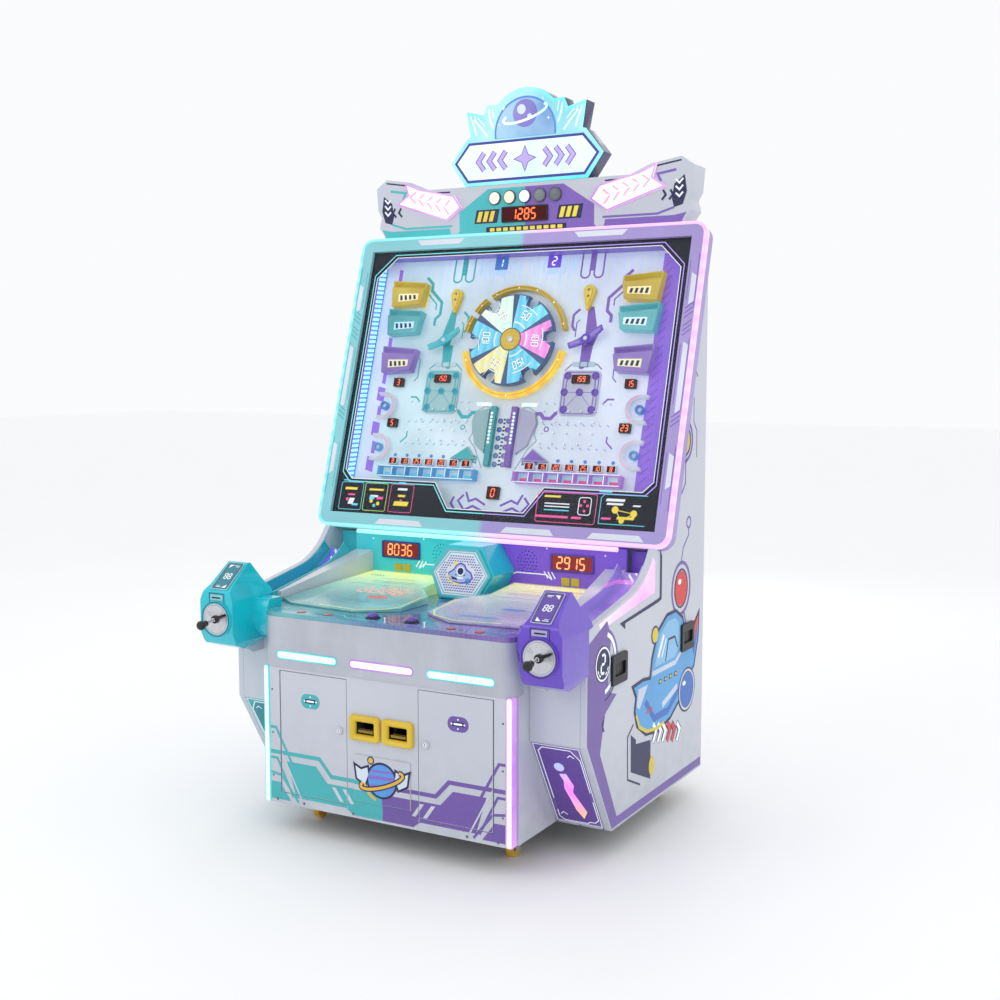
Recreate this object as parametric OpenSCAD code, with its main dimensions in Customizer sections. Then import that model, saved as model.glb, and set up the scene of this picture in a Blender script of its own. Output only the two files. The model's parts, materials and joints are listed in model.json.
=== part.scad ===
/* [Cabinet] */
// Width over the two side panels
cab_w = 1280; // [1240:10:1600]
// Thickness of the side panels
side_t = 20; // [16:1:24]
// Height of the cabinet floor above the ground
base_z = 92; // [88:1:130]
// Drop of the roof below the top edge of the playfield frame
roof_drop = 43.2; // [30:0.1:55]
// Room between the top of the playfield frame and the face of the rear wall
rear_room = 65.8; // [50:0.1:120]
// Depth of the rear service door pan
pan_d = 77; // [40:1:100]
// Thickness of the floor, the rear wall and the roof
wall_t = 18; // [15:1:22]

/* [Front box] */
// Width over the corner light bars of the front box
box_w = 908; // [880:1:960]
// Distance from the origin forward to the front of the box
box_y = 473.5; // [440:0.5:520]
// Height of the crease between the box and the apron
crease_z = 536; // [532:1:560]
// Height of the front lip of the console
lip_z = 712; // [700:1:880]
// Width of one cabinet door
door_w = 255; // [200:1:262]
// Height of one cabinet door
door_h = 394; // [300:1:400]
// Length of one apron light bar
bar_len = 234; // [160:1:250]
// Height of one apron light bar
bar_h = 28; // [16:1:40]

/* [Playfield] */
// How far the playfield frame stands out past each side panel
disp_over = 44; // [36:1:60]
// Length of the playfield frame along its slope
disp_len = 1094; // [1080:1:1400]
// Lean of the playfield from the vertical
lean = 17; // [16.5:0.1:17.5]
// Thickness of the playfield frame
frame_t = 60; // [50:1:70]
// Width of the border of the playfield frame
border_w = 52; // [44:1:56]
// Radius of the prize wheel
wheel_r = 165; // [140:1:172]
// Thickness of the prize wheel
wheel_t = 26; // [16:1:30]
// Radius of the wheel shaft
shaft_r = 8; // [6:0.5:11]

/* [Shooters] */
// Radius of the round dial plate
dial_r = 50; // [40:1:54]
// Width of a shooter shell
gun_w = 132; // [124:1:140]
// Length of the crank handle in front of the dial
crank_len = 73.5; // [60:0.5:110]

/* [Casters] */
// Radius of the caster wheels
caster_r = 30; // [26:0.5:32]
// Width of the caster wheels
caster_w = 24; // [18:1:28]

/* [Hidden] */
$fn = 48;

// Clearance between pieces that touch or move past each other
gap = 0.3;
// Radial running clearance of pins and shafts
run = 0.06;
// Inner face of the side panels
in_x = cab_w / 2 - side_t;
// Bottom front edge of the playfield frame, its width, the rear wall and the roof
disp_y = 113.5;
disp_z = lip_z + 201;
disp_w = cab_w + 2 * disp_over;
rear_y = disp_y + frame_t * cos(lean) + disp_len * sin(lean) + rear_room;
roof_z = disp_z + disp_len * cos(lean) - roof_drop;
// Front faces of the wings, their lower end and the height of the bend
wing_y = -376.5;
wing_low_y = -196.5;
wing_z = 394;
// Upper edge of the side panels: a straight rise and a tangent arc
rise_a = 10.6;
edge_r = 268;
edge_y = -67;
edge_z = lip_z + 81;
edge_cy = edge_y - edge_r * sin(rise_a);
edge_cz = edge_z + edge_r * cos(rise_a);
edge_end = 55.6;
// Inner edge of the ball rails
rail_x = in_x - 90;
// Console back wall and thickness of the deck
back_y = 147;
deck_t = 14;
// Centre of the dials and front face of the shooter shells
gun_x = cab_w / 2 - 61;
gun_y = -548;
dial_z = lip_z - 28;
// Height of the wheel centre along the playfield slope
wheel_s = 700;
// Depths of the playfield layers behind the front plane of the frame
board_h = frame_t + 2;
board_t = 18;
face_h = 16;
glass_h = 8;
glass_t = 5;
// Swivel axis of the front casters and their trail
caster_x = 362;
caster_y = -280;
caster_trail = 24.5;
rear_caster_x = 520;
rear_caster_y = 450;
// Pins on which the cabinet doors swing
door_pin_r = 4;
door_t = 18;
door_side_gap = 4.5;

// Recess of the lit side inserts and places of the hand grips
insert_d = 3;
grip_at = [[-160, 585], [396, 582]];
// Hinge of the playfield frame on the left side panel
hinge_out = 24;
hinge_x = cab_w / 2 + hinge_out;
hinge_h = frame_t + 8;
hinge_s = [200, 880];
// Rear opening, its pan door, louvres and hinges, and the mains inlet
rear_hole_x = in_x - 120;
rear_hole_z0 = 260;
rear_hole_z1 = roof_z - 416;
rear_pan_x = rear_hole_x + 30;
rear_pan_z0 = rear_hole_z0 - 25;
rear_pan_z1 = rear_hole_z1 + 25;
rear_hinge_x = rear_pan_x + 10;
rear_hinge_z = [rear_pan_z0 + 105, rear_pan_z1 - 185];
hinge_pin_r = 3;
lock_r = 9.5;
vent_rows = 9;
vent_z = rear_pan_z1 - 375;
inlet_x = 420;
inlet_z = 180;
// Front box: doors, ticket bezels, lower plate
box_end = wing_low_y + 60;
door_z0 = 130;
door_x = box_w / 2 - 67;
door_in = door_x - door_w;
door_lock_z = 361;
bezel_x = 60;
bezel_z = 381;
bezel_w = 112;
bezel_hh = 80;
mouth_w = 72;
mouth_h = 40;
lower_w = 206;
lower_z0 = 150;
lower_z1 = 296;
// Corner light bars and the posts behind them
bar_r = 12;
bar_d = 34 + gap;
post_w = 42;
post_d = 46;
// Apron and its light bars
apron_r = 40;
apron_end = wing_y - 30;
bar_at = [-280, 0, 280];
bar_z = crease_z + 41;
// Wings
wing_t = 15;
slant_a = atan2(wing_y - wing_low_y, wing_z - base_z);
// Console fittings, drawn from the right side
button_x = 71;
button_y = -413;
button_r = 18;
button_up = 5;
window_at = [[225, -436], [325, -440]];
tray_plan = [[128, 130], [rail_x - 90, 130], [rail_x - 18, -300], [rail_x - 89, -347], [175, -369],
    [50, -290], [50, -130], [128, -40]];
cover_plan = [[134, 118], [rail_x - 105, 118], [rail_x - 130, -338], [180, -362], [56, -284], [56, -128],
    [134, -36]];
tray_rise = 46;
// Hexagonal housing in the middle of the console and the light tube over it
hex_lean = 12;
hex_mid_z = lip_z + 88;
hex_top_z = lip_z + 178;
hex_r = 122;
hex_top_r = 68;
hex_low_r = 80;
tube_r = 8;
tube_z = hex_top_z + tube_r + gap;
// Displays and speakers in the console back wall
score_x = 336;
score_z = lip_z + 126;
score_w = 160;
score_h = 62;
speaker_x = 168;
speaker_z = lip_z + 120;
// Ball rails
rail_front = -328;
rail_t = 4;
rail_d = 45;
rail_end = 44;
// Shooter shells
gun_in = gun_x - gun_w / 2 + 2;
gun_out = gun_x + gun_w / 2 + 2;
gun_low = dial_z - 106;
gun_top = dial_z + 169;
gun_wall = 7;
slope_low = [gun_y + 3, dial_z + 88];
slope_top = [gun_y + 107, gun_top];
slope_a = atan2(slope_top[1] - slope_low[1], slope_top[0] - slope_low[0]);
crank_r = 7;
knob_len = 38;
droop = 8;
// Playfield frame and glass
corner_r = 46;
glass_lap = 8;
glass_w = disp_w - 2 * border_w + 2 * glass_lap;
glass_l = disp_len - 2 * border_w + 2 * glass_lap;
field_x = in_x - 14;
// Swinging arms, lamps and pockets on the playfield
arm_x = wheel_r + 117;
arm_s = 705;
arm_half = 68;
arm_rest = 24;
arm_pin_r = 5;
lamp_s = wheel_s - wheel_r - 15;
column_top = wheel_s - wheel_r - 69;
pin_s = 340;
pin_pitch = (lamp_s - 104 - pin_s) / 2;
lamp_at = [[-52, 60], [52, 60], [-58, 2], [0, 2], [58, 2], [-52, -58], [52, -58]];
lamp_row = [for (i = [0 : 6]) 125 + i * 51];
pocket_s = [880, 772, 628];
// Header and sign
head_y = disp_y + disp_len * sin(lean) + 6.65;
head_rear = rear_y - 12;
head_h = 209;
lamp_pitch = 60;
sign_z = roof_z + head_h + gap;
sign_r = 152;
sign_h = 326.7;
sign_t = 64;
// Casters
stem_r = 8;
axle_r = 5;
fork_t = 3;
fork_top = base_z - 3;

function ty(h, s) = disp_y + h * cos(lean) + s * sin(lean);
function tz(h, s) = disp_z - h * sin(lean) + s * cos(lean);
// Points of the upper edge, moved down into the panel by d
function edge_arc(d, a0, a1) = [for (i = [0 : 10]) let (a = a0 + (a1 - a0) * i / 10)
    [edge_cy + (edge_r + d) * sin(a), edge_cz - (edge_r + d) * cos(a)]];
function edge_at(y, d) = edge_z - d / cos(rise_a) + (y - edge_y) * tan(rise_a);
function reversed(p) = [for (i = [len(p) - 1 : -1 : 0]) p[i]];
// A right-hand outline closed by its mirror image
function both_sides(p) = concat(p, [for (q = reversed(p)) [-q[0], q[1]]]);

module pair() {
    children();
    mirror([1, 0, 0]) children();
}
module tilted() {
    translate([0, disp_y, disp_z]) rotate([-lean, 0, 0]) children();
}
// A plate standing across X, drawn in (y, z) and t thick from x0
module plate_x(x0, t) {
    translate([x0, 0, 0]) rotate([90, 0, 90]) linear_extrude(t) children();
}
// A plate standing across Y, drawn in (x, z) and t thick from y0
module plate_y(y0, t) {
    translate([0, y0 + t, 0]) rotate([90, 0, 0]) linear_extrude(t) children();
}
module box(x0, x1, y0, y1, z0, z1) {
    translate([x0, y0, z0]) cube([x1 - x0, y1 - y0, z1 - z0]);
}
module rod_y(x, z, r, y0, y1) {
    translate([x, y1, z]) rotate([90, 0, 0]) cylinder(r = r, h = y1 - y0);
}
module rod_x(y, z, r, x0, x1) {
    translate([x0, y, z]) rotate([0, 90, 0]) cylinder(r = r, h = x1 - x0);
}
module rounded(w, h, r) {
    square([w - 2 * r, h], center = true);
    square([w, h - 2 * r], center = true);
    for (i = [-1, 1], j = [-1, 1]) translate([i * (w / 2 - r), j * (h / 2 - r)]) circle(r);
}
// A ring segment from angle a0 to a1
module arc_band(r0, r1, a0, a1) {
    n = 16;
    polygon(concat([for (i = [0 : n]) let (a = a0 + (a1 - a0) * i / n) r1 * [cos(a), sin(a)]],
        [for (i = [n : -1 : 0]) let (a = a0 + (a1 - a0) * i / n) r0 * [cos(a), sin(a)]]));
}

// ---- cabinet ----
module base_frame() {
    color("dimgray") difference() {
        union() {
            box(-in_x + gap, in_x - gap, box_end + gap, rear_y - wall_t - gap, base_z,
                base_z + wall_t);
            box(-box_w / 2 + wall_t + gap, box_w / 2 - wall_t - gap, -box_y + post_d + gap, box_end + 1,
                base_z, base_z + wall_t);
            box(-box_w / 2 + post_w + gap, box_w / 2 - post_w - gap, -box_y + wall_t + gap, -box_y + post_d + 1,
                base_z, base_z + wall_t);
        }
        for (p = [[caster_x, caster_y], [rear_caster_x, rear_caster_y]]) pair()
            translate([p[0], p[1], base_z - 1]) cylinder(r = stem_r + run, h = wall_t + 2);
    }
}
function side_profile() = concat(
    [[rear_y, base_z], [rear_y, roof_z], [ty(frame_t + gap, roof_s()), roof_z],
     [ty(frame_t + gap, -gap), tz(frame_t + gap, -gap)], [ty(0, -gap), tz(0, -gap)]],
    reversed(edge_arc(0, rise_a, edge_end)),
    [[wing_y, edge_at(wing_y, 0)], [wing_y, wing_z], [wing_low_y, base_z]]);
function roof_s() = (roof_z - disp_z + (frame_t + gap) * sin(lean)) / cos(lean);
function insert_profile(g) = concat(
    [[-295 + g, edge_at(-295, 10 + g)]], edge_arc(10 + g, rise_a, 52),
    [[123 - g, lip_z + 158], [123 - g, lip_z + 59 + g], [-285 + g, lip_z + 7 + g]]);
module side_panel() {
    difference() {
        plate_x(in_x, side_t) polygon(side_profile());
        plate_x(in_x + side_t - insert_d, insert_d + 1) polygon(insert_profile(0));
    }
}
// Lugs and pins that carry the playfield frame on the left side panel
module frame_lugs() {
    tilted() for (s = hinge_s) translate([-hinge_x, hinge_h, s]) {
        for (z = [0, 70]) translate([0, 0, z]) {
            translate([0, -6.5, 0]) cube([hinge_out, 15, 10]);
            cylinder(r = 7, h = 10);
        }
        cylinder(r = hinge_pin_r, h = 80);
    }
}
module side_left() {
    color("gainsboro") union() {
        mirror([1, 0, 0]) side_panel();
        frame_lugs();
    }
}
module side_right() {
    color("gainsboro") side_panel();
}
module side_inserts() {
    color("violet") pair() plate_x(in_x + side_t - insert_d + gap / 3, insert_d - gap / 3)
        polygon(insert_profile(gap));
}
module side_grips() {
    color("black") pair() for (p = grip_at) plate_x(cab_w / 2 + gap / 3, 9) translate(p) difference() {
        rounded(108, 92, 8);
        rounded(78, 40, 10);
    }
}
module rear_wall() {
    color("gainsboro") difference() {
        box(-in_x + gap, in_x - gap, rear_y - wall_t, rear_y, base_z + gap, roof_z - gap);
        box(-rear_hole_x, rear_hole_x, rear_y - wall_t - 1, rear_y + 1, rear_hole_z0, rear_hole_z1);
        box(inlet_x - 24, inlet_x + 24, rear_y - wall_t - 1, rear_y + 1, inlet_z - 14, inlet_z + 14);
    }
    color("silver") for (z = rear_hinge_z) {
        for (z1 = [z, z + 72]) box(-rear_hinge_x - 6, -rear_hinge_x + 6, rear_y, rear_y + 18, z1, z1 + 8);
        translate([-rear_hinge_x, rear_y + 11, z]) cylinder(r = hinge_pin_r, h = 80);
    }
}
module roof_panel() {
    color("gainsboro") box(-in_x + gap, in_x - gap, ty(board_h + board_t, roof_s()) + 2, rear_y - wall_t - gap,
        roof_z - wall_t, roof_z);
}
// Pan door with louvres, lock and hinge barrels
module rear_door() {
    color("lightgray") difference() {
        union() {
            difference() {
                box(-rear_pan_x, rear_pan_x, rear_y + gap, rear_y + pan_d, rear_pan_z0, rear_pan_z1);
                box(-rear_pan_x + 3, rear_pan_x - 3, rear_y - 1, rear_y + pan_d - 3, rear_pan_z0 + 3,
                    rear_pan_z1 - 3);
                for (i = [0 : vent_rows - 1], x = [-260, 260])
                    box(x - 130, x + 130, rear_y + pan_d - 4, rear_y + pan_d + 1, vent_z + i * 26,
                        vent_z + 10 + i * 26);
            }
            for (z = rear_hinge_z) {
                translate([-rear_hinge_x, rear_y + 11, z + 8 + gap]) cylinder(r = 6, h = 64 - 2 * gap);
                box(-rear_hinge_x, -rear_pan_x + 1, rear_y + 8, rear_y + 14, z + 8 + gap, z + 72 - gap);
            }
        }
        for (z = rear_hinge_z) translate([-rear_hinge_x, rear_y + 11, z])
            cylinder(r = hinge_pin_r + run, h = 80);
        rod_y(rear_pan_x - 50, 880, lock_r + gap, rear_y + pan_d - 5, rear_y + pan_d + 1);
    }
    color("silver") rod_y(rear_pan_x - 50, 880, lock_r, rear_y + pan_d - 34, rear_y + pan_d);
}
module power_inlet() {
    color("black") difference() {
        union() {
            box(inlet_x - 23.5, inlet_x + 23.5, rear_y - 30, rear_y + gap, inlet_z - 13.5, inlet_z + 13.5);
            box(inlet_x - 32, inlet_x + 32, rear_y + gap, rear_y + 3, inlet_z - 20, inlet_z + 20);
        }
        box(inlet_x - 12, inlet_x + 12, rear_y - 18, rear_y + 4, inlet_z - 8, inlet_z + 8);
    }
}

// ---- front box ----
module front_box() {
    color("gainsboro") difference() {
        union() {
            box(-box_w / 2 + 2 * bar_r + gap, box_w / 2 - 2 * bar_r - gap, -box_y, -box_y + wall_t, base_z,
                crease_z);
            pair() box(box_w / 2 - wall_t, box_w / 2, -box_y + bar_d, box_end, base_z, crease_z);
            pair() box(box_w / 2 - wall_t, box_w / 2, apron_end + gap, box_end, base_z, lip_z - deck_t - gap);
            pair() box(box_w / 2 - post_w, box_w / 2, -box_y + bar_d, -box_y + post_d, base_z, crease_z);
            pair() box(box_w / 2 - post_w, box_w / 2 - 2 * bar_r - gap, -box_y, -box_y + post_d, base_z,
                crease_z);
        }
        pair() box(door_in - 2, door_x + door_side_gap, -box_y - 1, -box_y + wall_t + 1, door_z0 - 2,
            door_z0 + door_h + 2);
        pair() box(bezel_x - bezel_w / 2 + 8, bezel_x + bezel_w / 2 - 8, -box_y - 1, -box_y + wall_t + 1,
            bezel_z - 30, bezel_z + 30);
        box(-lower_w / 2 + 12, lower_w / 2 - 12, -box_y - 1, -box_y + wall_t + 1, lower_z0 + 12, lower_z1 - 12);
    }
    color("silver") pair() for (z = [door_z0 - 12, door_z0 + door_h - 18])
        translate([door_x - 9, -box_y + door_t / 2, z]) cylinder(r = door_pin_r, h = 30);
}
module console_plan(inset) {
    w = box_w / 2 - inset;
    y0 = -box_y - 4 + inset;
    r = apron_r - inset;
    translate([-w + r, y0]) square([2 * (w - r), wing_y - y0 - gap]);
    translate([-w, y0 + r]) square([2 * w, wing_y - y0 - r - gap]);
    for (i = [-1, 1]) translate([i * (w - r), y0 + r]) circle(r);
}
module bar_slot(g) {
    square([bar_len - bar_h, bar_h + 2 * g], center = true);
    for (i = [-1, 1]) translate([i * (bar_len - bar_h) / 2, 0]) circle(bar_h / 2 + g);
}
module apron() {
    color("lightgray") difference() {
        translate([0, 0, crease_z + gap]) linear_extrude(lip_z - deck_t - crease_z - 2 * gap) difference() {
            console_plan(0);
            console_plan(14);
            translate([-box_w, apron_end]) square([2 * box_w, 60]);
        }
        for (x = bar_at) plate_y(-box_y - 20, 40) translate([x, bar_z]) bar_slot(gap);
    }
}
module light_bars() {
    color("aquamarine") {
        for (x = bar_at) plate_y(-box_y - 5, 12) translate([x, bar_z]) bar_slot(0);
        pair() translate([box_w / 2 - bar_r, -box_y + 8, base_z]) linear_extrude(crease_z - base_z) {
            circle(bar_r);
            translate([-bar_r, 0]) square([2 * bar_r, bar_d - gap - 8]);
        }
        rod_x(back_y - 22, tube_z, tube_r, -rail_x + 20, rail_x - 20);
    }
}
module cabinet_door() {
    difference() {
        box(door_in, door_x, -box_y, -box_y + door_t, door_z0, door_z0 + door_h);
        for (z = [door_z0 - 1, door_z0 + door_h - 19])
            translate([door_x - 9, -box_y + door_t / 2, z]) cylinder(r = door_pin_r + run, h = 20);
        rod_y(door_in + 26, door_lock_z, lock_r + gap, -box_y - 1, -box_y + door_t + 1);
    }
    color("silver") difference() {
        union() {
            rod_y(door_in + 26, door_lock_z, 13, -box_y - 4, -box_y - gap);
            rod_y(door_in + 26, door_lock_z, lock_r, -box_y - 1, -box_y + door_t + 10);
        }
        box(door_in + 25, door_in + 27, -box_y - 5, -box_y + 6, door_lock_z - 5, door_lock_z + 5);
    }
}
module door_left() {
    color("gainsboro") mirror([1, 0, 0]) cabinet_door();
}
module door_right() {
    color("gainsboro") cabinet_door();
}
module lower_plate() {
    color("gainsboro") plate_y(-box_y - 3 - gap, 3) translate([0, (lower_z0 + lower_z1) / 2])
        rounded(lower_w, lower_z1 - lower_z0, 3);
}
module ticket_bezels() {
    color("gold") pair() difference() {
        union() {
            plate_y(-box_y - 14, 14 - gap) translate([bezel_x, bezel_z]) rounded(bezel_w, bezel_hh, 8);
            box(bezel_x - bezel_w / 2 + 9, bezel_x + bezel_w / 2 - 9, -box_y - gap, -box_y + 40,
                bezel_z - 29, bezel_z + 29);
        }
        box(bezel_x - mouth_w / 2, bezel_x + mouth_w / 2, -box_y - 15, -box_y + 41,
            bezel_z - mouth_h / 2, bezel_z + mouth_h / 2);
    }
}
module ticket_units() {
    color("silver") pair() difference() {
        box(bezel_x - 45, bezel_x + 45, -box_y + 40 + gap, -box_y + 210, bezel_z - 60, bezel_z + 50);
        box(bezel_x - mouth_w / 2, bezel_x + mouth_w / 2, -box_y + 40, -box_y + 120,
            bezel_z - mouth_h / 2, bezel_z + mouth_h / 2);
    }
}
module wing_panels() {
    y_in = wing_y + wing_t;
    color("gainsboro") pair() plate_x(box_w / 2 + gap, in_x - box_w / 2 - 2 * gap) polygon([
        [wing_y, lip_z - deck_t - gap], [wing_y, wing_z], [wing_low_y, base_z], [wing_low_y + 18, base_z],
        [y_in, wing_z + 3], [y_in, lip_z - deck_t - gap]]);
    color("silver") pair() plate_x(gun_x - 46, 5) polygon([[wing_y - gap, gun_low - 18],
        [wing_y - gap, gun_low + 20], [gun_y + 90, gun_low - 2], [gun_y + 118, gun_low - 18]]);
}
module on_wing() {
    translate([(box_w / 2 + in_x) / 2, wing_low_y, base_z]) rotate([-slant_a, 0, 0]) children();
}
module wing_lights() {
    color("magenta") pair() on_wing() plate_y(-4 - gap, 4) union() {
        translate([-8, 255]) circle(16);
        polygon([[-14, 225], [8, 228], [22, 180], [12, 150], [26, 110], [40, 70], [24, 40], [6, 78], [-2, 120],
            [-12, 165], [-6, 200]]);
    }
}

// ---- console ----
module console_deck() {
    color("lightslategray") difference() {
        translate([0, 0, lip_z - deck_t]) linear_extrude(deck_t) union() {
            console_plan(0);
            translate([-box_w / 2, wing_y - 20]) square([box_w, 40]);
            translate([-rail_x + gap, wing_y]) square([2 * (rail_x - gap), back_y + 12 - wing_y]);
        }
        for (x = [-button_x, button_x]) translate([x, button_y, lip_z - deck_t - 1])
            cylinder(r = button_r / 2 + run, h = deck_t + 2);
    }
    color("gainsboro") pair() intersection() {
        plate_x(0, in_x) polygon([[-305, lip_z + gap], [-305, edge_at(-305, 6)], [back_y - gap, lip_z + 118],
            [back_y - gap, lip_z + gap]]);
        translate([0, 0, lip_z]) linear_extrude(200)
            polygon([[rail_x - gap, -305], [rail_x - gap, back_y], [rail_x - 74, back_y],
                [rail_x - 16, -305]]);
    }
}
module on_deck(z0, t, plan) {
    pair() intersection() {
        plate_x(0, in_x) polygon([[-380, z0 == 0 ? lip_z + gap : lip_z + 4 + z0],
            [-380, lip_z + 4 + z0 + t], [back_y, lip_z + 4 + tray_rise + z0 + t],
            [back_y, z0 == 0 ? lip_z + gap : lip_z + 4 + tray_rise + z0]]);
        translate([0, 0, lip_z]) linear_extrude(100) polygon(plan);
    }
}
module table_trays() {
    color("mediumturquoise") on_deck(0, 0, tray_plan);
}
module table_covers() {
    color("lightcyan", 0.4) on_deck(gap, 5, cover_plan);
}
module deck_fittings() {
    color("red") pair() for (p = window_at) translate([p[0], p[1], lip_z + gap]) cylinder(r = 14, h = 2);
    color("silver") for (x = [-button_x, button_x]) {
        translate([x, button_y, lip_z + gap]) difference() {
            cylinder(r = button_r + 6, h = 4);
            translate([0, 0, -1]) cylinder(r = button_r + 1, h = 6);
        }
        translate([x + 78, -462, lip_z + gap]) cylinder(r = 5, h = 18);
    }
}
module button(x) {
    translate([x, button_y, 0]) {
        translate([0, 0, lip_z - deck_t - 12]) cylinder(r = button_r / 2, h = deck_t + 14 + button_up);
        translate([0, 0, lip_z + button_up]) rotate_extrude() intersection() {
            translate([0, -8]) circle(r = 21, $fn = 64);
            square([button_r, 30]);
        }
    }
}
module button_left() {
    color("indigo") button(-button_x);
}
module button_right() {
    color("indigo") button(button_x);
}
function hex_outline(d) = [[-hex_low_r + d, lip_z + gap + d], [hex_low_r - d, lip_z + gap + d],
    [hex_r - d, hex_mid_z], [hex_top_r - d, hex_top_z - d], [-hex_top_r + d, hex_top_z - d],
    [-hex_r + d, hex_mid_z]];
function hex_y(z) = (z - hex_mid_z) * tan(hex_lean);
module hex_slice(y0, y1, d) {
    z0 = lip_z - 50;
    z1 = hex_top_z + 50;
    intersection() {
        plate_y(-200, 500) polygon(hex_outline(d));
        plate_x(-200, 400) polygon([[hex_y(z0) + y0, z0], [hex_y(z1) + y0, z1],
            [y1 > 100 ? y1 : hex_y(z1) + y1, z1], [y1 > 100 ? y1 : hex_y(z0) + y1, z0]]);
    }
}
module hex_housing() {
    color("turquoise") hex_slice(gap, back_y - gap, 0);
}
module hex_panel() {
    color("mediumslateblue") hex_slice(-8, 0, 14);
}
module console_back() {
    color("mediumpurple") difference() {
        box(-rail_x + gap, rail_x - gap, back_y, back_y + 12, lip_z + gap,
            tz(0, 0) - (back_y + 14 - disp_y) * tan(lean));
        for (x = [-score_x, score_x]) box(x - score_w / 2 + 8, x + score_w / 2 - 8, back_y - 1, back_y + 13,
            score_z - score_h / 2 + 8, score_z + score_h / 2 - 8);
        for (x = [-speaker_x, speaker_x], ring = [0 : 3], i = [0 : max(0, ring * 6 - 1)]) {
            a = i * 60 / max(1, ring);
            rod_y(x + ring * 12 * cos(a), speaker_z + ring * 12 * sin(a), 2.6, back_y - 1, back_y + 13);
        }
    }
}
module score_displays() {
    color("darkred") for (x = [-score_x, score_x]) {
        difference() {
            plate_y(back_y - 6, 6 - gap) translate([x, score_z]) rounded(score_w, score_h, 6);
            box(x - score_w / 2 + 7, x + score_w / 2 - 7, back_y - 7, back_y,
                score_z - score_h / 2 + 7, score_z + score_h / 2 - 7);
        }
        box(x - score_w / 2 + 8 + gap, x + score_w / 2 - 8 - gap, back_y - 4, back_y + 26,
            score_z - score_h / 2 + 8 + gap, score_z + score_h / 2 - 8 - gap);
    }
}
module speakers() {
    color("dimgray") for (x = [-speaker_x, speaker_x]) {
        rod_y(x, speaker_z, 46, back_y + 12 + gap, back_y + 18);
        translate([x, back_y + 18, speaker_z]) rotate([-90, 0, 0]) cylinder(r1 = 40, r2 = 22, h = 22);
    }
}
module rail_band(d0, d1) {
    polygon(concat([[rail_front, edge_at(rail_front, d0)]], edge_arc(d0, rise_a, rail_end),
        reversed(edge_arc(d1, rise_a, rail_end)), [[rail_front, edge_at(rail_front, d1)]]));
}
module ball_rails() {
    color("slateblue", 0.7) pair() {
        plate_x(rail_x, in_x - gap - rail_x) rail_band(rail_d, rail_d + rail_t);
        for (x = [rail_x, in_x - gap - rail_t]) plate_x(x, rail_t) rail_band(2, rail_d + 1);
    }
}

// ---- shooters, drawn for the right side ----
module gun_side(d) {
    polygon([[gun_y + 118 - d, gun_top - d], [wing_y + 30 - d, dial_z + 78 - d],
        [wing_y + 30 - d, edge_at(wing_y + 30, -3) + d],
        [wing_y - gap, edge_at(wing_y, -3) + d], [wing_y - gap, gun_low + 24 + d], [gun_y + 78, gun_low + d],
        [gun_y + 18 + d, gun_low + 22 + d], [gun_y + d, dial_z - 44], [gun_y + d, dial_z + 81 - d],
        slope_low + [d, -d / 2],
        slope_top + [0, -d]]);
}
module gun_front(d) {
    polygon([[gun_in + d, gun_low + 30], [gun_in + 20, gun_low + d], [gun_out - 16, gun_low + d],
        [gun_out - d, gun_low + 34], [gun_out - d, dial_z + 58], [gun_out - 22 - d, dial_z + 106],
        [gun_out - 28 - d, gun_top - d], [gun_in + 22 + d, gun_top - d],
        [gun_in + 18 + d, dial_z + 106], [gun_in + d, dial_z + 62]]);
}
module gun_shell() {
    difference() {
        union() {
            intersection() {
                plate_x(gun_in - 10, gun_w + 20) gun_side(0);
                plate_y(gun_y - 1, 300) gun_front(0);
            }
            rod_y(gun_x, dial_z, dial_r + 8, gun_y - 7, gun_y + 60);
            intersection() {
                box(box_w / 2 + gap, gun_in + 8, -box_y + 20, wing_y - gap, gun_low + 36, dial_z + 58);
                rod_x(-box_y + 106, dial_z + 6, 86, box_w / 2, gun_in + 9);
            }
        }
        intersection() {
            plate_x(gun_in + 6, gun_w - 12) gun_side(gun_wall);
            plate_y(gun_y + 2 * gun_wall, 300) gun_front(gun_wall);
        }
        rod_y(gun_x, dial_z, dial_r + gap, gun_y - 8, gun_y + 2);
        rod_y(gun_x, dial_z, crank_r + run, gun_y, gun_y + 70);
        box(gun_x - 18, gun_x + 18, gun_y - 1, gun_y + 8, dial_z + 66, dial_z + 71);
    }
}
module gun_left() {
    color("darkturquoise") mirror([1, 0, 0]) gun_shell();
}
module gun_right() {
    color("mediumslateblue") gun_shell();
}
module gun_displays() {
    color("darkslateblue") pair() {
        translate([gun_x - 3, slope_low[0], slope_low[1]]) rotate([slope_a, 0, 0]) translate([-33, 7, gap]) {
            difference() {
                cube([66, 118, 4]);
                translate([6, 6, 2]) cube([54, 106, 3]);
            }
        }
        difference() {
            box(gun_x - 26, gun_x + 22, gun_y - 2 - gap, gun_y - gap, dial_z + 60.5, dial_z + 78);
            box(gun_x - 18, gun_x + 18, gun_y - 4, gun_y, dial_z + 66, dial_z + 71);
        }
    }
}
module dial_plates() {
    color("silver") pair() difference() {
        rod_y(gun_x, dial_z, dial_r, gun_y - 6, gun_y + 2 - gap);
        rod_y(gun_x, dial_z, crank_r + run, gun_y - 7, gun_y + 3);
        for (a = [100, 220, 325]) rod_y(gun_x + 33 * cos(a), dial_z + 33 * sin(a), 3.5, gun_y - 7, gun_y - 1);
    }
}
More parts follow.
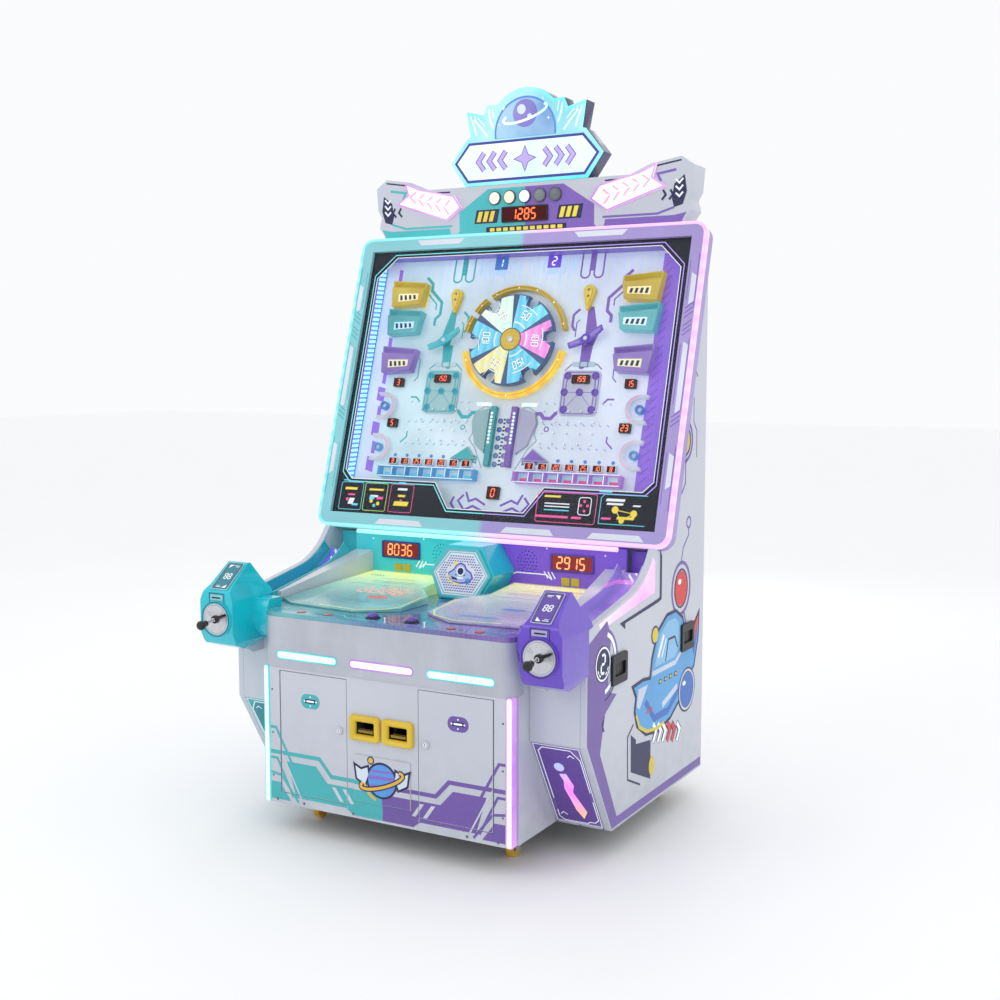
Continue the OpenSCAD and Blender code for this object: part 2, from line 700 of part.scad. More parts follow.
module crank() {
    translate([0, 0, dial_z]) {
        rod_y(0, 0, crank_r, gun_y - 8, gun_y + 30);
        rod_y(0, 0, 13, gun_y - 15, gun_y - 6 - gap);
        rotate([0, -24, 0]) box(0, 42, gun_y - 14, gun_y - 8, -5, 5);
    }
    translate([0, gun_y - 12, dial_z]) rotate([90 + droop, 0, 0]) {
        cylinder(r = 5, h = crank_len - knob_len);
        translate([0, 0, crank_len - knob_len]) rotate_extrude() polygon(concat([[0, 0], [8, 0], [9, 8]],
            [for (a = [-20 : 10 : 90]) [4 + 11 * cos(a), knob_len - 11 + 11 * sin(a)]], [[0, knob_len]]));
    }
}
module crank_left() {
    color("black") translate([-gun_x, 0, 0]) crank();
}
module crank_right() {
    color("black") translate([gun_x, 0, 0]) crank();
}

// ---- playfield ----
module on_slope(h, t) {
    translate([0, h + t, 0]) rotate([90, 0, 0]) linear_extrude(t) children();
}
module play_frame() {
    color("lavender") difference() {
        union() {
            tilted() difference() {
                on_slope(0, frame_t) translate([0, disp_len / 2]) rounded(disp_w, disp_len, corner_r);
                on_slope(-1, frame_t + 2) translate([0, disp_len / 2])
                    square([glass_w - 2 * glass_lap, glass_l - 2 * glass_lap], center = true);
                on_slope(glass_h - gap, glass_t + 2 * gap) translate([0, disp_len / 2])
                    square([glass_w + gap, glass_l + gap], center = true);
            }
            tilted() for (s = hinge_s) translate([-hinge_x, hinge_h, s + 10 + gap]) {
                cylinder(r = 7, h = 60 - 2 * gap);
                translate([-7, -9, 0]) cube([14, 9, 60 - 2 * gap]);
            }
        }
        tilted() for (s = hinge_s) translate([-hinge_x, hinge_h, s]) cylinder(r = hinge_pin_r + run, h = 90);
    }
}
module play_glass() {
    color("white", 0.2) tilted() on_slope(glass_h, glass_t) translate([0, disp_len / 2])
        square([glass_w, glass_l], center = true);
}
module play_board() {
    color("whitesmoke") tilted() difference() {
        translate([-in_x + gap, board_h, 24]) cube([2 * (in_x - gap), board_t, disp_len - 60]);
        translate([0, 0, wheel_s]) on_slope(board_h - 1, board_t + 2) circle(shaft_r + run);
        pair() translate([arm_x, 0, arm_s]) on_slope(board_h - 2, 10) circle(arm_pin_r);
    }
}
module board_walls() {
    color("mediumpurple") tilted() on_slope(glass_h + glass_t + 2, board_h - glass_h - glass_t - 2 - gap)
        translate([0, disp_len / 2]) difference() {
            square([2 * field_x, disp_len - 2 * border_w - 24], center = true);
            square([2 * field_x - 20, disp_len - 2 * border_w - 44], center = true);
        }
}
module prize_wheel() {
    color("deepskyblue") tilted() translate([0, 0, wheel_s]) {
        difference() {
            on_slope(face_h, wheel_t) circle(wheel_r, $fn = 96);
            for (a = [4 : 60 : 304]) on_slope(face_h - 1, wheel_t + 2)
                translate((wheel_r - 14) * [cos(a), sin(a)]) circle(23);
        }
        on_slope(face_h - 1.5, 3) circle(38);
        on_slope(face_h + wheel_t - 1, 76) circle(shaft_r);
    }
}
module wheel_motor() {
    color("dimgray") tilted() translate([0, 0, wheel_s]) difference() {
        union() {
            on_slope(board_h + board_t + gap, 30) rounded(90, 90, 8);
            on_slope(board_h + board_t + gap, 95) circle(34);
        }
        on_slope(board_h, 78) circle(shaft_r + run);
    }
}
module lamp_board() {
    translate([275, lamp_s]) difference() {
        rounded(142, 158, 18);
        for (p = lamp_at) translate(p) circle(11);
    }
}
module field_guides() {
    color("gold") tilted() translate([0, 0, wheel_s]) {
        on_slope(38, board_h - 38 - gap) arc_band(wheel_r + 21, wheel_r + 39, 190, 350);
        on_slope(34, board_h - 34 - gap) arc_band(wheel_r + 23, wheel_r + 39, 12, 124);
        for (a = [130, 152]) on_slope(34, board_h - 34 - gap) arc_band(wheel_r + 27, wheel_r + 43, a, a + 17);
        pair() on_slope(40, board_h - 40 - gap) translate([265, 0]) union() {
            translate([0, 180]) circle(22);
            polygon([[-22, 180], [22, 180], [4, 112], [-4, 112]]);
        }
    }
    color("mediumturquoise") tilted() {
        pair() on_slope(board_h - 6, 6 - gap) lamp_board();
        pair() on_slope(board_h - 20, 20 - gap) translate([30, 252]) square([22, column_top - 252]);
        pair() on_slope(board_h - 12, 12 - gap)
            polygon([[62, 460], [118, 448], [128, 410], [104, 330], [62, 300]]);
        pair() on_slope(board_h - 12, 12 - gap) polygon([[92, 276], [196, 276], [128, 322]]);
        pair() translate([arm_x, 0, arm_s]) on_slope(26 - gap, board_h + 8 - 26) circle(arm_pin_r - run);
    }
}
module arm() {
    tilted() translate([0, 0, arm_s]) difference() {
        on_slope(28, 10) union() {
            circle(17);
            polygon([[-arm_half, -9], [-30, -14], [0, -15], [30, -9], [arm_half, 4], [arm_half, 24], [30, 14],
                [0, 15], [-30, 10], [-arm_half, 12]]);
        }
        on_slope(27, 12) circle(arm_pin_r + run);
    }
}
module turned_arm(x) {
    tilted() translate([x, 0, arm_s]) rotate([0, -arm_rest, 0]) translate([0, 0, -arm_s]) rotate([lean, 0, 0])
        translate([0, -disp_y, -disp_z]) arm();
}
module arm_left() {
    color("lightseagreen") turned_arm(-arm_x);
}
module arm_right() {
    color("mediumpurple") turned_arm(arm_x);
}
module board_displays() {
    color("darkred") tilted() {
        pair() on_slope(board_h - 14, 8 - gap) translate([275, lamp_s + 47]) square([66, 30], center = true);
        pair() for (s = [552, 400]) on_slope(board_h - 14, 14 - gap) translate([460, s])
            square([40, 32], center = true);
        on_slope(board_h - 14, 14 - gap) translate([0, 160]) square([46, 44], center = true);
        pair() for (x = lamp_row) on_slope(board_h - 12, 12 - gap) translate([x, 259])
            square([36, 26], center = true);
    }
}
module side_pockets() {
    color("gold") tilted() pair() for (s = pocket_s) translate([466, 0, s]) difference() {
        on_slope(24, board_h - 24 - gap) polygon([[-74, 44], [72, 56], [60, -46], [-60, -38]]);
        on_slope(30, board_h - 36) polygon([[-70, 60], [66, 60], [54, -38], [-54, -30]]);
        on_slope(23, board_h - 29) translate([-68, 12]) square([132, 60]);
    }
}
module bumpers() {
    color("white") tilted() {
        pair() for (s = [463, 308]) on_slope(board_h - 20, 20 - gap) translate([505, s]) {
            arc_band(36, 50, 95, 265);
            difference() {
                circle(16);
                circle(9);
            }
        }
        pair() for (row = [0 : 4], i = [0 : 5]) if (!(row > 2 && i > 0 && i < 5))
            on_slope(board_h - 14 - gap, 14) translate([150 + i * 48, pin_s + row * pin_pitch]) circle(2.5);
    }
}
module pocket_rows() {
    color("royalblue") tilted() pair() difference() {
        on_slope(30, board_h - 30 - gap) translate([277, 218]) square([402, 40], center = true);
        for (i = [-3 : 3]) on_slope(29, board_h - 36) translate([277 + i * 56, 218])
            square([48, 32], center = true);
    }
}

// ---- topper ----
function frame_top(y) = disp_z + (disp_len + 3 - (y - disp_y) * sin(lean)) / cos(lean);
module header() {
    color("gainsboro") difference() {
        intersection() {
            plate_x(-disp_w / 2, disp_w) polygon([[head_y, frame_top(head_y)],
                [ty(frame_t + 4, disp_len), frame_top(ty(frame_t + 4, disp_len))],
                [ty(frame_t + 4, disp_len), roof_z + gap], [head_rear, roof_z + gap],
                [head_rear, roof_z + 384], [head_y, roof_z + 384]]);
            plate_y(0, 2 * rear_y) translate([0, roof_z])
                polygon(both_sides([[595, -16], [595, 50], [617, 82], [607, 119], [622, 145], [629, 226],
                    [584, 257], [475, 240], [400, head_h]]));
        }
        box(-560, 560, head_y + 14, head_rear - 14, roof_z - 10, roof_z + head_h - 15);
    }
}
module header_lights() {
    color("white") translate([0, 0, roof_z]) {
        pair() plate_y(head_y - 8 - gap, 8)
            polygon([[255, 136], [319, 92], [536, 162], [485, 194], [500, 240], [433, 213], [289, 182]]);
        box(-92, 92, head_y - 6 - gap, head_y - gap, 74, 129);
        for (i = [-2 : 2]) rod_y(i * lamp_pitch, 162, 24, head_y - 12 - gap, head_y - gap);
    }
}
module sign_outline(d) {
    polygon([[-243 + d, d], [243 - d, d], [302 - d * 1.4, 83], [235 - d, 167 - d], [-235 + d, 167 - d],
        [-302 + d * 1.4, 83]]);
    translate([0, sign_h - sign_r]) circle(sign_r - d, $fn = 96);
    for (i = [0, 1]) mirror([i, 0]) {
        polygon([[120, 155], [215 - d, 155], [236 - d, 263 - 2 * d], [175, 247 - 2 * d], [130, 215]]);
        polygon([[90, 205], [170, 215], [152 - d / 2, 279 - 2 * d], [100, 275 - 2 * d]]);
    }
}
module sign() {
    color("midnightblue") plate_y(head_y + 6, sign_t) translate([0, sign_z]) sign_outline(0);
    color("lightcyan") plate_y(head_y, 6 - gap) translate([0, sign_z]) sign_outline(10);
}

// ---- casters ----
module fork(x, y, trail) {
    half = caster_w / 2 + 2;
    translate([x, y, 0]) {
        translate([0, 0, fork_top - 1]) cylinder(r = stem_r, h = wall_t - 4);
        box(-half - fork_t, half + fork_t, -trail - 14, 20, fork_top - 5, fork_top);
        for (x0 = [-half - fork_t, half]) plate_x(x0, fork_t) polygon([[-trail - 11, caster_r - 9],
            [-trail + 11, caster_r - 9], [18, fork_top - 4], [-trail - 14, fork_top - 4]]);
        rod_x(-trail, caster_r, axle_r, -half - fork_t - 3, half + fork_t + 3);
    }
}
module forks_rear() {
    color("silver") for (x = [-rear_caster_x, rear_caster_x]) {
        fork(x, rear_caster_y, 0);
        box(x - 30, x + 30, rear_caster_y - 26, rear_caster_y + 26, fork_top - 1, base_z - gap);
    }
}
module fork_left() {
    color("silver") fork(-caster_x, caster_y, caster_trail);
}
module fork_right() {
    color("silver") fork(caster_x, caster_y, caster_trail);
}
module caster_wheel(x, y) {
    color("gold") difference() {
        rod_x(y, caster_r, caster_r, x - caster_w / 2, x + caster_w / 2);
        rod_x(y, caster_r, axle_r + run, x - caster_w, x + caster_w);
    }
}
module wheel_fl() {
    caster_wheel(-caster_x, caster_y - caster_trail);
}
module wheel_fr() {
    caster_wheel(caster_x, caster_y - caster_trail);
}
module wheel_rl() {
    caster_wheel(-rear_caster_x, rear_caster_y);
}
module wheel_rr() {
    caster_wheel(rear_caster_x, rear_caster_y);
}

base_frame();
side_left();
side_right();
side_inserts();
side_grips();
rear_wall();
roof_panel();
rear_door();
power_inlet();
front_box();
apron();
light_bars();
door_left();
door_right();
lower_plate();
ticket_bezels();
ticket_units();
wing_panels();
wing_lights();
console_deck();
table_trays();
table_covers();
deck_fittings();
button_left();
button_right();
hex_housing();
hex_panel();
console_back();
score_displays();
speakers();
ball_rails();
gun_left();
gun_right();
gun_displays();
dial_plates();
crank_left();
crank_right();
play_frame();
play_glass();
play_board();
board_walls();
prize_wheel();
wheel_motor();
field_guides();
arm_left();
arm_right();
board_displays();
side_pockets();
bumpers();
pocket_rows();
header();
header_lights();
sign();
forks_rear();
fork_left();
fork_right();
wheel_fl();
wheel_fr();
wheel_rl();
wheel_rr();
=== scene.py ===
import bpy
import bmesh
import json
from math import acos, atan2, cos, pi, radians, sin, sqrt
from mathutils import Matrix, Vector
from mathutils.geometry import tessellate_polygon


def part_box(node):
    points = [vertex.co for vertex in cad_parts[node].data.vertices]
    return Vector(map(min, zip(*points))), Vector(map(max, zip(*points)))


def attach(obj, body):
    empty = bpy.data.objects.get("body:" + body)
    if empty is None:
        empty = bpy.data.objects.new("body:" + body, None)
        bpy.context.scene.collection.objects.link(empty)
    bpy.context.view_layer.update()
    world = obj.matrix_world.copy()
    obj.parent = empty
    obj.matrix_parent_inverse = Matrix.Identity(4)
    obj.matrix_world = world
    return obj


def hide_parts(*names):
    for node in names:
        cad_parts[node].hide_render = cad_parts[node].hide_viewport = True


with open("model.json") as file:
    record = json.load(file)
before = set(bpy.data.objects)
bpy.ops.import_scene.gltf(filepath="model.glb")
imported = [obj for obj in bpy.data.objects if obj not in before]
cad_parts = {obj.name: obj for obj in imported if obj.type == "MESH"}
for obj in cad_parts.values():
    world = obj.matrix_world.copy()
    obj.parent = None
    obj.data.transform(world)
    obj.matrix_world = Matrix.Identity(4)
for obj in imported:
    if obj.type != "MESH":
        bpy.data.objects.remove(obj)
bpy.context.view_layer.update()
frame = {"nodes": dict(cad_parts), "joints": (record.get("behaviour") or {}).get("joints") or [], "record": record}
print("frame loaded:", len(frame["nodes"]), "nodes")

mm = 0.001
bodyOf = {node: body for body, nodes in frame["record"]["behaviour"]["bodies"].items() for node in nodes}
slotOf = {part["node"]: part["material_slot"] for part in frame["record"]["subparts"]}
jointOf = {joint["name"]: joint for joint in frame["joints"]}

# the slope of the playfield comes from the wheel's joint
inward = -Vector(jointOf["prize_wheel_spin"]["axis"]).normalized()
upSlope = Vector((1, 0, 0)).cross(inward)
wheelHub = Vector(jointOf["prize_wheel_spin"]["pos_m"])
wheelS, wheelH = 700, 29
slopeOrigin = wheelHub - inward * wheelH * mm - upSlope * wheelS * mm
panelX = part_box("side_right")[1].x / mm
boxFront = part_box("front_box")[0].y / mm
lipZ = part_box("button_right")[1].z / mm - 18
dialSpot = Vector(jointOf["crank_right_turn"]["pos_m"]) / mm


def placeMatrix(origin, right, up):
    right, up = Vector(right).normalized(), Vector(up).normalized()
    out = right.cross(up)
    rows = Matrix((right, up, out)).transposed().to_4x4()
    return Matrix.Translation(Vector(origin)) @ rows @ Matrix.Scale(mm, 4)


# flat drawing planes: local (right, up, out) in millimetres
onSlope = placeMatrix(slopeOrigin, (1, 0, 0), upSlope)


def onFront(y):
    return placeMatrix((0, y * mm, 0), (1, 0, 0), (0, 0, 1))


def onRight(x):
    return placeMatrix((x * mm, 0, 0), (0, 1, 0), (0, 0, 1))


def onRear(y):
    return placeMatrix((0, y * mm, 0), (-1, 0, 0), (0, 0, 1))


def onDeck(z):
    return placeMatrix((0, 0, z * mm), (1, 0, 0), (0, 1, 0))


# flat shapes and turned bodies, drawn in millimetres on a plane
def circlePoints(cx, cy, r, count=32, start=0):
    return [(cx + r * cos(start + 2 * pi * i / count), cy + r * sin(start + 2 * pi * i / count))
        for i in range(count)]


def arcPoints(cx, cy, r, a0, a1, count=20):
    steps = [radians(a0 + (a1 - a0) * i / count) for i in range(count + 1)]
    return [(cx + r * cos(a), cy + r * sin(a)) for a in steps]


def roundedRect(cx, cy, w, h, r, count=5):
    points = []
    for sx, sy, a in ((1, 1, 0), (-1, 1, 90), (-1, -1, 180), (1, -1, 270)):
        points += arcPoints(cx + sx * (w / 2 - r), cy + sy * (h / 2 - r), r, a, a + 90, count)
    return points


def mirrored(points):
    return [(-x, y) for x, y in reversed(points)]


def slab(points, d0, d1):
    low = [pen.verts.new((x, y, d0)) for x, y in points]
    top = [pen.verts.new((x, y, d1)) for x, y in points]
    count = len(points)
    pen.faces.new(list(reversed(low)))
    pen.faces.new(top)
    for i in range(count):
        j = (i + 1) % count
        pen.faces.new((low[i], low[j], top[j], top[i]))


def ringSlab(outer, inner, d0, d1):
    loops = [[pen.verts.new((x, y, d)) for x, y in pts] for pts in (outer, inner) for d in (d0, d1)]
    outLow, outTop, inLow, inTop = loops
    count = len(outer)
    for i in range(count):
        j = (i + 1) % count
        for quad in ((outLow[i], outLow[j], outTop[j], outTop[i]), (outTop[i], outTop[j], inTop[j], inTop[i]),
                (inTop[i], inTop[j], inLow[j], inLow[i]), (inLow[i], inLow[j], outLow[j], outLow[i])):
            pen.faces.new(quad)


def panel(loops, d0, d1):
    # a flat plate with holes: the first loop is the outline
    low = [[pen.verts.new((x, y, d0)) for x, y in loop] for loop in loops]
    top = [[pen.verts.new((x, y, d1)) for x, y in loop] for loop in loops]
    flatLow, flatTop = sum(low, []), sum(top, [])
    for a, b, c in tessellate_polygon([[Vector((x, y, 0)) for x, y in loop] for loop in loops]):
        pen.faces.new((flatLow[a], flatLow[c], flatLow[b]))
        pen.faces.new((flatTop[a], flatTop[b], flatTop[c]))
    for lowLoop, topLoop in zip(low, top):
        for i in range(len(lowLoop)):
            j = (i + 1) % len(lowLoop)
            pen.faces.new((lowLoop[i], lowLoop[j], topLoop[j], topLoop[i]))


def offsetPath(points, d, closed):
    moved = []
    count = len(points)
    for i in range(count):
        here = Vector(points[i])
        back = Vector(points[i - 1]) if i or closed else None
        ahead = Vector(points[(i + 1) % count]) if i < count - 1 or closed else None
        dirs = [v.normalized() for v in ((here - back) if back is not None else None,
            (ahead - here) if ahead is not None else None) if v is not None]
        side = sum((Vector((-v.y, v.x)) for v in dirs), Vector((0, 0)))
        side.normalize()
        reach = d / max(0.4, side.dot(Vector((-dirs[0].y, dirs[0].x))))
        moved.append(tuple(here + side * reach))
    return moved


def stroke(points, width, d0, d1, closed=False):
    left, right = offsetPath(points, width / 2, closed), offsetPath(points, -width / 2, closed)
    if closed:
        ringSlab(right, left, d0, d1)
    else:
        slab(right + left[::-1], d0, d1)


def lathe(profile, centre=(0, 0), count=40):
    rings = []
    for r, d in profile:
        rings.append([pen.verts.new((x, y, d)) for x, y in circlePoints(*centre, max(r, 0.01), count)])
    for a, b in zip(rings, rings[1:]):
        for i in range(count):
            j = (i + 1) % count
            pen.faces.new((a[i], a[j], b[j], b[i]))
    pen.faces.new(list(reversed(rings[0])))
    pen.faces.new(rings[-1])


def tube(path, r, count=12):
    rings = []
    total = len(path)
    for i, point in enumerate(path):
        here = Vector(point)
        back = Vector(path[i - 1]) if i else here
        ahead = Vector(path[i + 1]) if i < total - 1 else here
        along = (ahead - back).normalized()
        side = along.cross(Vector((0, 0, 1)))
        side = side.normalized() if side.length > 0.05 else along.cross(Vector((1, 0, 0))).normalized()
        up = side.cross(along)
        rings.append([pen.verts.new(here + side * r * cos(2 * pi * k / count) + up * r * sin(2 * pi * k / count))
            for k in range(count)])
    for a, b in zip(rings, rings[1:]):
        for k in range(count):
            m = (k + 1) % count
            pen.faces.new((a[k], a[m], b[m], b[k]))
    pen.faces.new(list(reversed(rings[0])))
    pen.faces.new(rings[-1])


def smoothByAngle(mesh, degrees=32):
    for poly in mesh.polygons:
        poly.use_smooth = True
    mesh.set_sharp_from_angle(angle=radians(degrees))


def finishPiece(obj, material, body, bevel=0, segments=2, hides=()):
    obj.data.materials.clear()
    obj.data.materials.append(material)
    if bevel:
        edge = obj.modifiers.new("edge", "BEVEL")
        edge.width = bevel * mm
        edge.segments = segments
        edge.limit_method = "ANGLE"
        edge.angle_limit = radians(35)
        edge.harden_normals = False
    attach(obj, body)
    if hides:
        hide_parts(*hides)
    return obj


flipX = Matrix.Scale(-1, 4, (1, 0, 0))


def piece(name, draw, place, material, body="cabinet", slot="panel_white", bevel=0, segments=2, both=False,
        flip=False, hides=(), smooth=32):
    # draw fills the shared pen in millimetres and place stands it in the frame; flip mirrors it, both keeps the two sides
    global pen
    pen = bmesh.new()
    draw()
    bmesh.ops.transform(pen, matrix=flipX @ place if flip else place, verts=pen.verts)
    if both:
        copy = bmesh.ops.duplicate(pen, geom=pen.verts[:] + pen.edges[:] + pen.faces[:])["geom"]
        bmesh.ops.transform(pen, matrix=flipX, verts=[g for g in copy if isinstance(g, bmesh.types.BMVert)])
    bmesh.ops.recalc_face_normals(pen, faces=pen.faces)
    mesh = bpy.data.meshes.new(name)
    pen.to_mesh(mesh)
    pen.free()
    smoothByAngle(mesh, smooth)
    obj = bpy.data.objects.new(name, mesh)
    bpy.context.scene.collection.objects.link(obj)
    return finishPiece(obj, material, body, bevel, segments, hides)


def drawn(*where, **more):
    # turns the drawing below it into a piece of the same name
    return lambda draw: piece(draw.__name__, draw, *where, **more)


def drawnPair(*where, **more):
    return lambda draw: pairOf(draw.__name__, draw, *where, **more)


def softened(name, node, material, bevel, segments=2):
    # a copy of a CAD node with real rounded edges stands for it
    source = frame["nodes"][node]
    pen = bmesh.new()
    pen.from_mesh(source.data)
    bmesh.ops.remove_doubles(pen, verts=pen.verts, dist=0.00002)
    bmesh.ops.dissolve_limit(pen, angle_limit=radians(1), verts=pen.verts, edges=pen.edges)
    mesh = bpy.data.meshes.new(name)
    pen.to_mesh(mesh)
    pen.free()
    smoothByAngle(mesh, 30)
    obj = bpy.data.objects.new(name, mesh)
    bpy.context.scene.collection.objects.link(obj)
    return finishPiece(obj, material, bodyOf[node], bevel, segments, (node,))


def pairOf(name, draw, place, left, right, **more):
    # the same drawing on both sides, each side in its own finish
    piece(name + "Right", draw, place, right, **more)
    piece(name + "Left", draw, place, left, flip=True, **more)


def dress(node, material):
    obj = frame["nodes"][node]
    obj.data.materials.clear()
    obj.data.materials.append(material)


segmentsOf = {"0": "abcdef", "1": "bc", "2": "abged", "3": "abgcd", "4": "fgbc", "5": "afgcd", "6": "afgedc",
    "7": "abc", "8": "abcdefg", "9": "abfgcd", "-": "g", " ": ""}


def segmentLines(text, cx, cy, height, pitch=0.72, lean=0.08):
    # the strokes of a seven-segment display, each as a short line with mitred ends
    w, h = height * 0.46, height
    spots = {"a": ((0, h), (w, h)), "b": ((w, h), (w, h / 2)), "c": ((w, h / 2), (w, 0)), "d": ((0, 0), (w, 0)),
        "e": ((0, h / 2), (0, 0)), "f": ((0, h), (0, h / 2)), "g": ((0, h / 2), (w, h / 2))}
    start = cx - (len(text) - 1) * height * pitch / 2 - w / 2
    lines = []
    for i, letter in enumerate(text):
        for key in segmentsOf[letter]:
            ends = [Vector((start + i * height * pitch + x + (y - h / 2) * lean, cy + y - h / 2)) for x,
                y in spots[key]]
            lines.append(ends)
    return lines


def drawDigits(text, cx, cy, height, d0, d1, width=None, place=lambda p: p):
    width = width or height * 0.13
    for a, b in segmentLines(text, cx, cy, height):
        along = (b - a).normalized()
        side = Vector((-along.y, along.x)) * width / 2
        a, b = a + along * width * 0.12, b - along * width * 0.12
        points = [a, a + along * width / 2 + side, b - along * width / 2 + side, b, b - along * width / 2 - side,
            a + along * width / 2 - side]
        slab([place(tuple(p)) for p in reversed(points)], d0, d1)


# shader maths: a socket that takes operators
class Field:
    # wraps one output socket of a material's tree
    def __init__(self, paint, socket):
        self.paint, self.socket = paint, socket

    def maths(self, operation, *values):
        return self.paint.node("ShaderNodeMath", {"operation": operation}, dict(enumerate(values)))

    def __add__(self, other):
        return self.maths("ADD", self, other)

    def __sub__(self, other):
        return self.maths("SUBTRACT", self, other)

    def __rsub__(self, other):
        return self.maths("SUBTRACT", other, self)

    def __mul__(self, other):
        return self.maths("MULTIPLY", self, other)

    def __pow__(self, other):
        return self.maths("POWER", self, other)

    def __mod__(self, other):
        return self.maths("FLOORED_MODULO", self, other)

    def __gt__(self, other):
        return self.maths("GREATER_THAN", self, other)

    def __lt__(self, other):
        return self.maths("LESS_THAN", self, other)

    def __abs__(self):
        return self.maths("ABSOLUTE", self)

    __radd__ = __add__
    __rmul__ = __mul__

    def most(self, other):
        return self.maths("MAXIMUM", self, other)

    def sine(self):
        return self.maths("SINE", self)

    def ramp(self, low, high, to0=0, to1=1):
        return self.paint.node("ShaderNodeMapRange", {"clamp": True},
            {"Value": self, "From Min": low, "From Max": high, "To Min": to0, "To Max": to1})


class Paint:
    # one material and the nodes that make it
    def __init__(self, name):
        self.material = bpy.data.materials.new(name)
        self.material.use_nodes = True
        self.tree = self.material.node_tree
        self.tree.nodes.clear()
        self.spot = self.node("ShaderNodeTexCoord", {}, {}, "Object")
        self.x, self.y, self.z = (self.node("ShaderNodeSeparateXYZ", {}, {0: self.spot}, axis) for axis in "XYZ")

    def node(self, kind, settings, inputs, out=0):
        made = self.tree.nodes.new(kind)
        for key, value in settings.items():
            setattr(made, key, value)
        for key, value in inputs.items():
            if isinstance(value, Field):
                self.tree.links.new(value.socket, made.inputs[key])
            elif value is not None:
                made.inputs[key].default_value = value
        return Field(self, made.outputs[out]) if len(made.outputs) else None

    def stretched(self, stretch):
        if not stretch:
            return self.spot
        return self.node("ShaderNodeVectorMath", {"operation": "MULTIPLY"}, {0: self.spot, 1: stretch})

    def noise(self, scale, detail=3, rough=0.5, stretch=None):
        return self.node("ShaderNodeTexNoise", {}, {"Vector": self.stretched(stretch), "Scale": scale,
            "Detail": detail, "Roughness": rough})

    def cells(self, scale, stretch=None):
        return self.node("ShaderNodeTexVoronoi", {}, {"Vector": self.stretched(stretch), "Scale": scale})

    def mix(self, factor, a, b, blend="MIX"):
        return self.node("ShaderNodeMix", {"data_type": "RGBA", "blend_type": blend},
            {0: factor, 6: a if isinstance(a, Field) else rgba(a), 7: b if isinstance(b, Field) else rgba(b)}, 2)

    def bump(self, height, strength, distance, under=None):
        return self.node("ShaderNodeBump", {}, {"Height": height, "Strength": strength, "Distance": distance,
            "Normal": under})

    def surface(self, color, rough, metal=0, normal=None, coat=0, coatRough=0.05, glow=None, power=0, alpha=None,
            specular=0.5, ior=1.5, transmission=0):
        shader = self.node("ShaderNodeBsdfPrincipled", {}, {"Base Color": color if isinstance(color,
            Field) else rgba(color), "Roughness": rough, "Metallic": metal, "Normal": normal, "Coat Weight": coat,
            "Coat Roughness": coatRough, "Emission Color": None if glow is None else glow if isinstance(glow,
            Field) else rgba(glow), "Emission Strength": power, "Alpha": alpha, "Specular IOR Level": specular,
            "IOR": ior, "Transmission Weight": transmission})
        self.node("ShaderNodeOutputMaterial", {}, {"Surface": shader})
        return self.material


def rgba(color):
    return (*color, 1) if len(color) == 3 else tuple(color)
# the finishes of the machine
tone = {"white": (0.57, 0.6, 0.68), "shellTeal": (0.004, 0.58, 0.7), "shellPurple": (0.13, 0.05, 0.6),
    "navy": (0.012, 0.012, 0.085), "yellow": (0.8, 0.55, 0.02), "black": (0.012, 0.012, 0.016)}


def laminate(name, color, rough=0.34, coat=0.25, lowDarkAmount=0.1):
    # printed laminate: soft colour drift, fine orange peel, scuffs, patchy darkening towards the floor
    p = Paint(name)
    drift = p.noise(2.3, 4).ramp(0.3, 0.7)
    scuff = p.noise(38, 6, 0.65, (1, 1, 0.35)).ramp(0.58, 0.78)
    # patchy darkening towards the floor, full below 0.1 m and gone above 0.42 m
    lowDarkening = p.z.ramp(0.1, 0.42, 1, 0) * p.noise(17, 5).ramp(0.35, 0.75)
    base = p.mix(drift, color, tuple(c * 0.93 for c in color))
    base = p.mix(lowDarkening * lowDarkAmount * 3, base, (0.3, 0.28, 0.26))
    base = p.mix(scuff * 0.05, base, (0.25, 0.26, 0.28))
    peel = p.bump(p.noise(620, 2), 0.1, 0.0004)
    return p.surface(base, (rough + scuff * 0.12 + drift * 0.05), normal=peel, coat=coat)


def moulded(name, color, rough=0.3, coat=0.3, grain=900, depth=0.12, specular=0.4, shade=0.82):
    # moulded or painted plastic: flow marks, fine texture and handling wear
    p = Paint(name)
    flow = p.noise(9, 4, 0.6, (1, 1, 0.5)).ramp(0.3, 0.72)
    wear = p.noise(75, 5, 0.7).ramp(0.62, 0.8)
    base = p.mix(flow, color, tuple(c * shade for c in color))
    base = p.mix(wear * 0.07, base, (0.75, 0.76, 0.8))
    texture = p.bump(p.noise(grain, 2), depth, 0.0003)
    return p.surface(base, (rough + wear * 0.14 + flow * 0.05), normal=texture, coat=coat, specular=specular)


def metal(name, color, rough=0.28, stretch=(1, 1, 60), scale=22, depth=0.25):
    # brushed metal: long fine lines, a few deeper ones, faint finger marks
    p = Paint(name)
    lines = p.noise(scale, 4, 0.6, stretch)
    marks = p.noise(31, 4).ramp(0.55, 0.75)
    base = p.mix(lines.ramp(0.3, 0.7), color, tuple(c * 0.78 for c in color))
    return p.surface(base, (rough + lines.ramp(0.3, 0.7) * 0.12 + marks * 0.1), 1, p.bump(lines, depth, 0.0004))


def lit(name, deep, bright, power, spots=0, pitch=0, axis="x"):
    # translucent lit plastic: hot spots of the lamps behind and a soft drift
    p = Paint(name)
    drift = p.noise(5, 3).ramp(0.3, 0.7)
    level = drift
    if pitch:
        along = getattr(p, axis)
        level = ((along * (2 * pi / pitch)).sine() * 0.5 + 0.5) * spots + drift * (1 - spots)
    shade = p.mix(level, deep, bright)
    peel = p.bump(p.noise(420, 2), 0.08, 0.0004)
    return p.surface(p.mix(0.7, shade, (0, 0, 0)), (0.28 + drift * 0.08), normal=peel, coat=0.2, glow=shade,
        power=power)


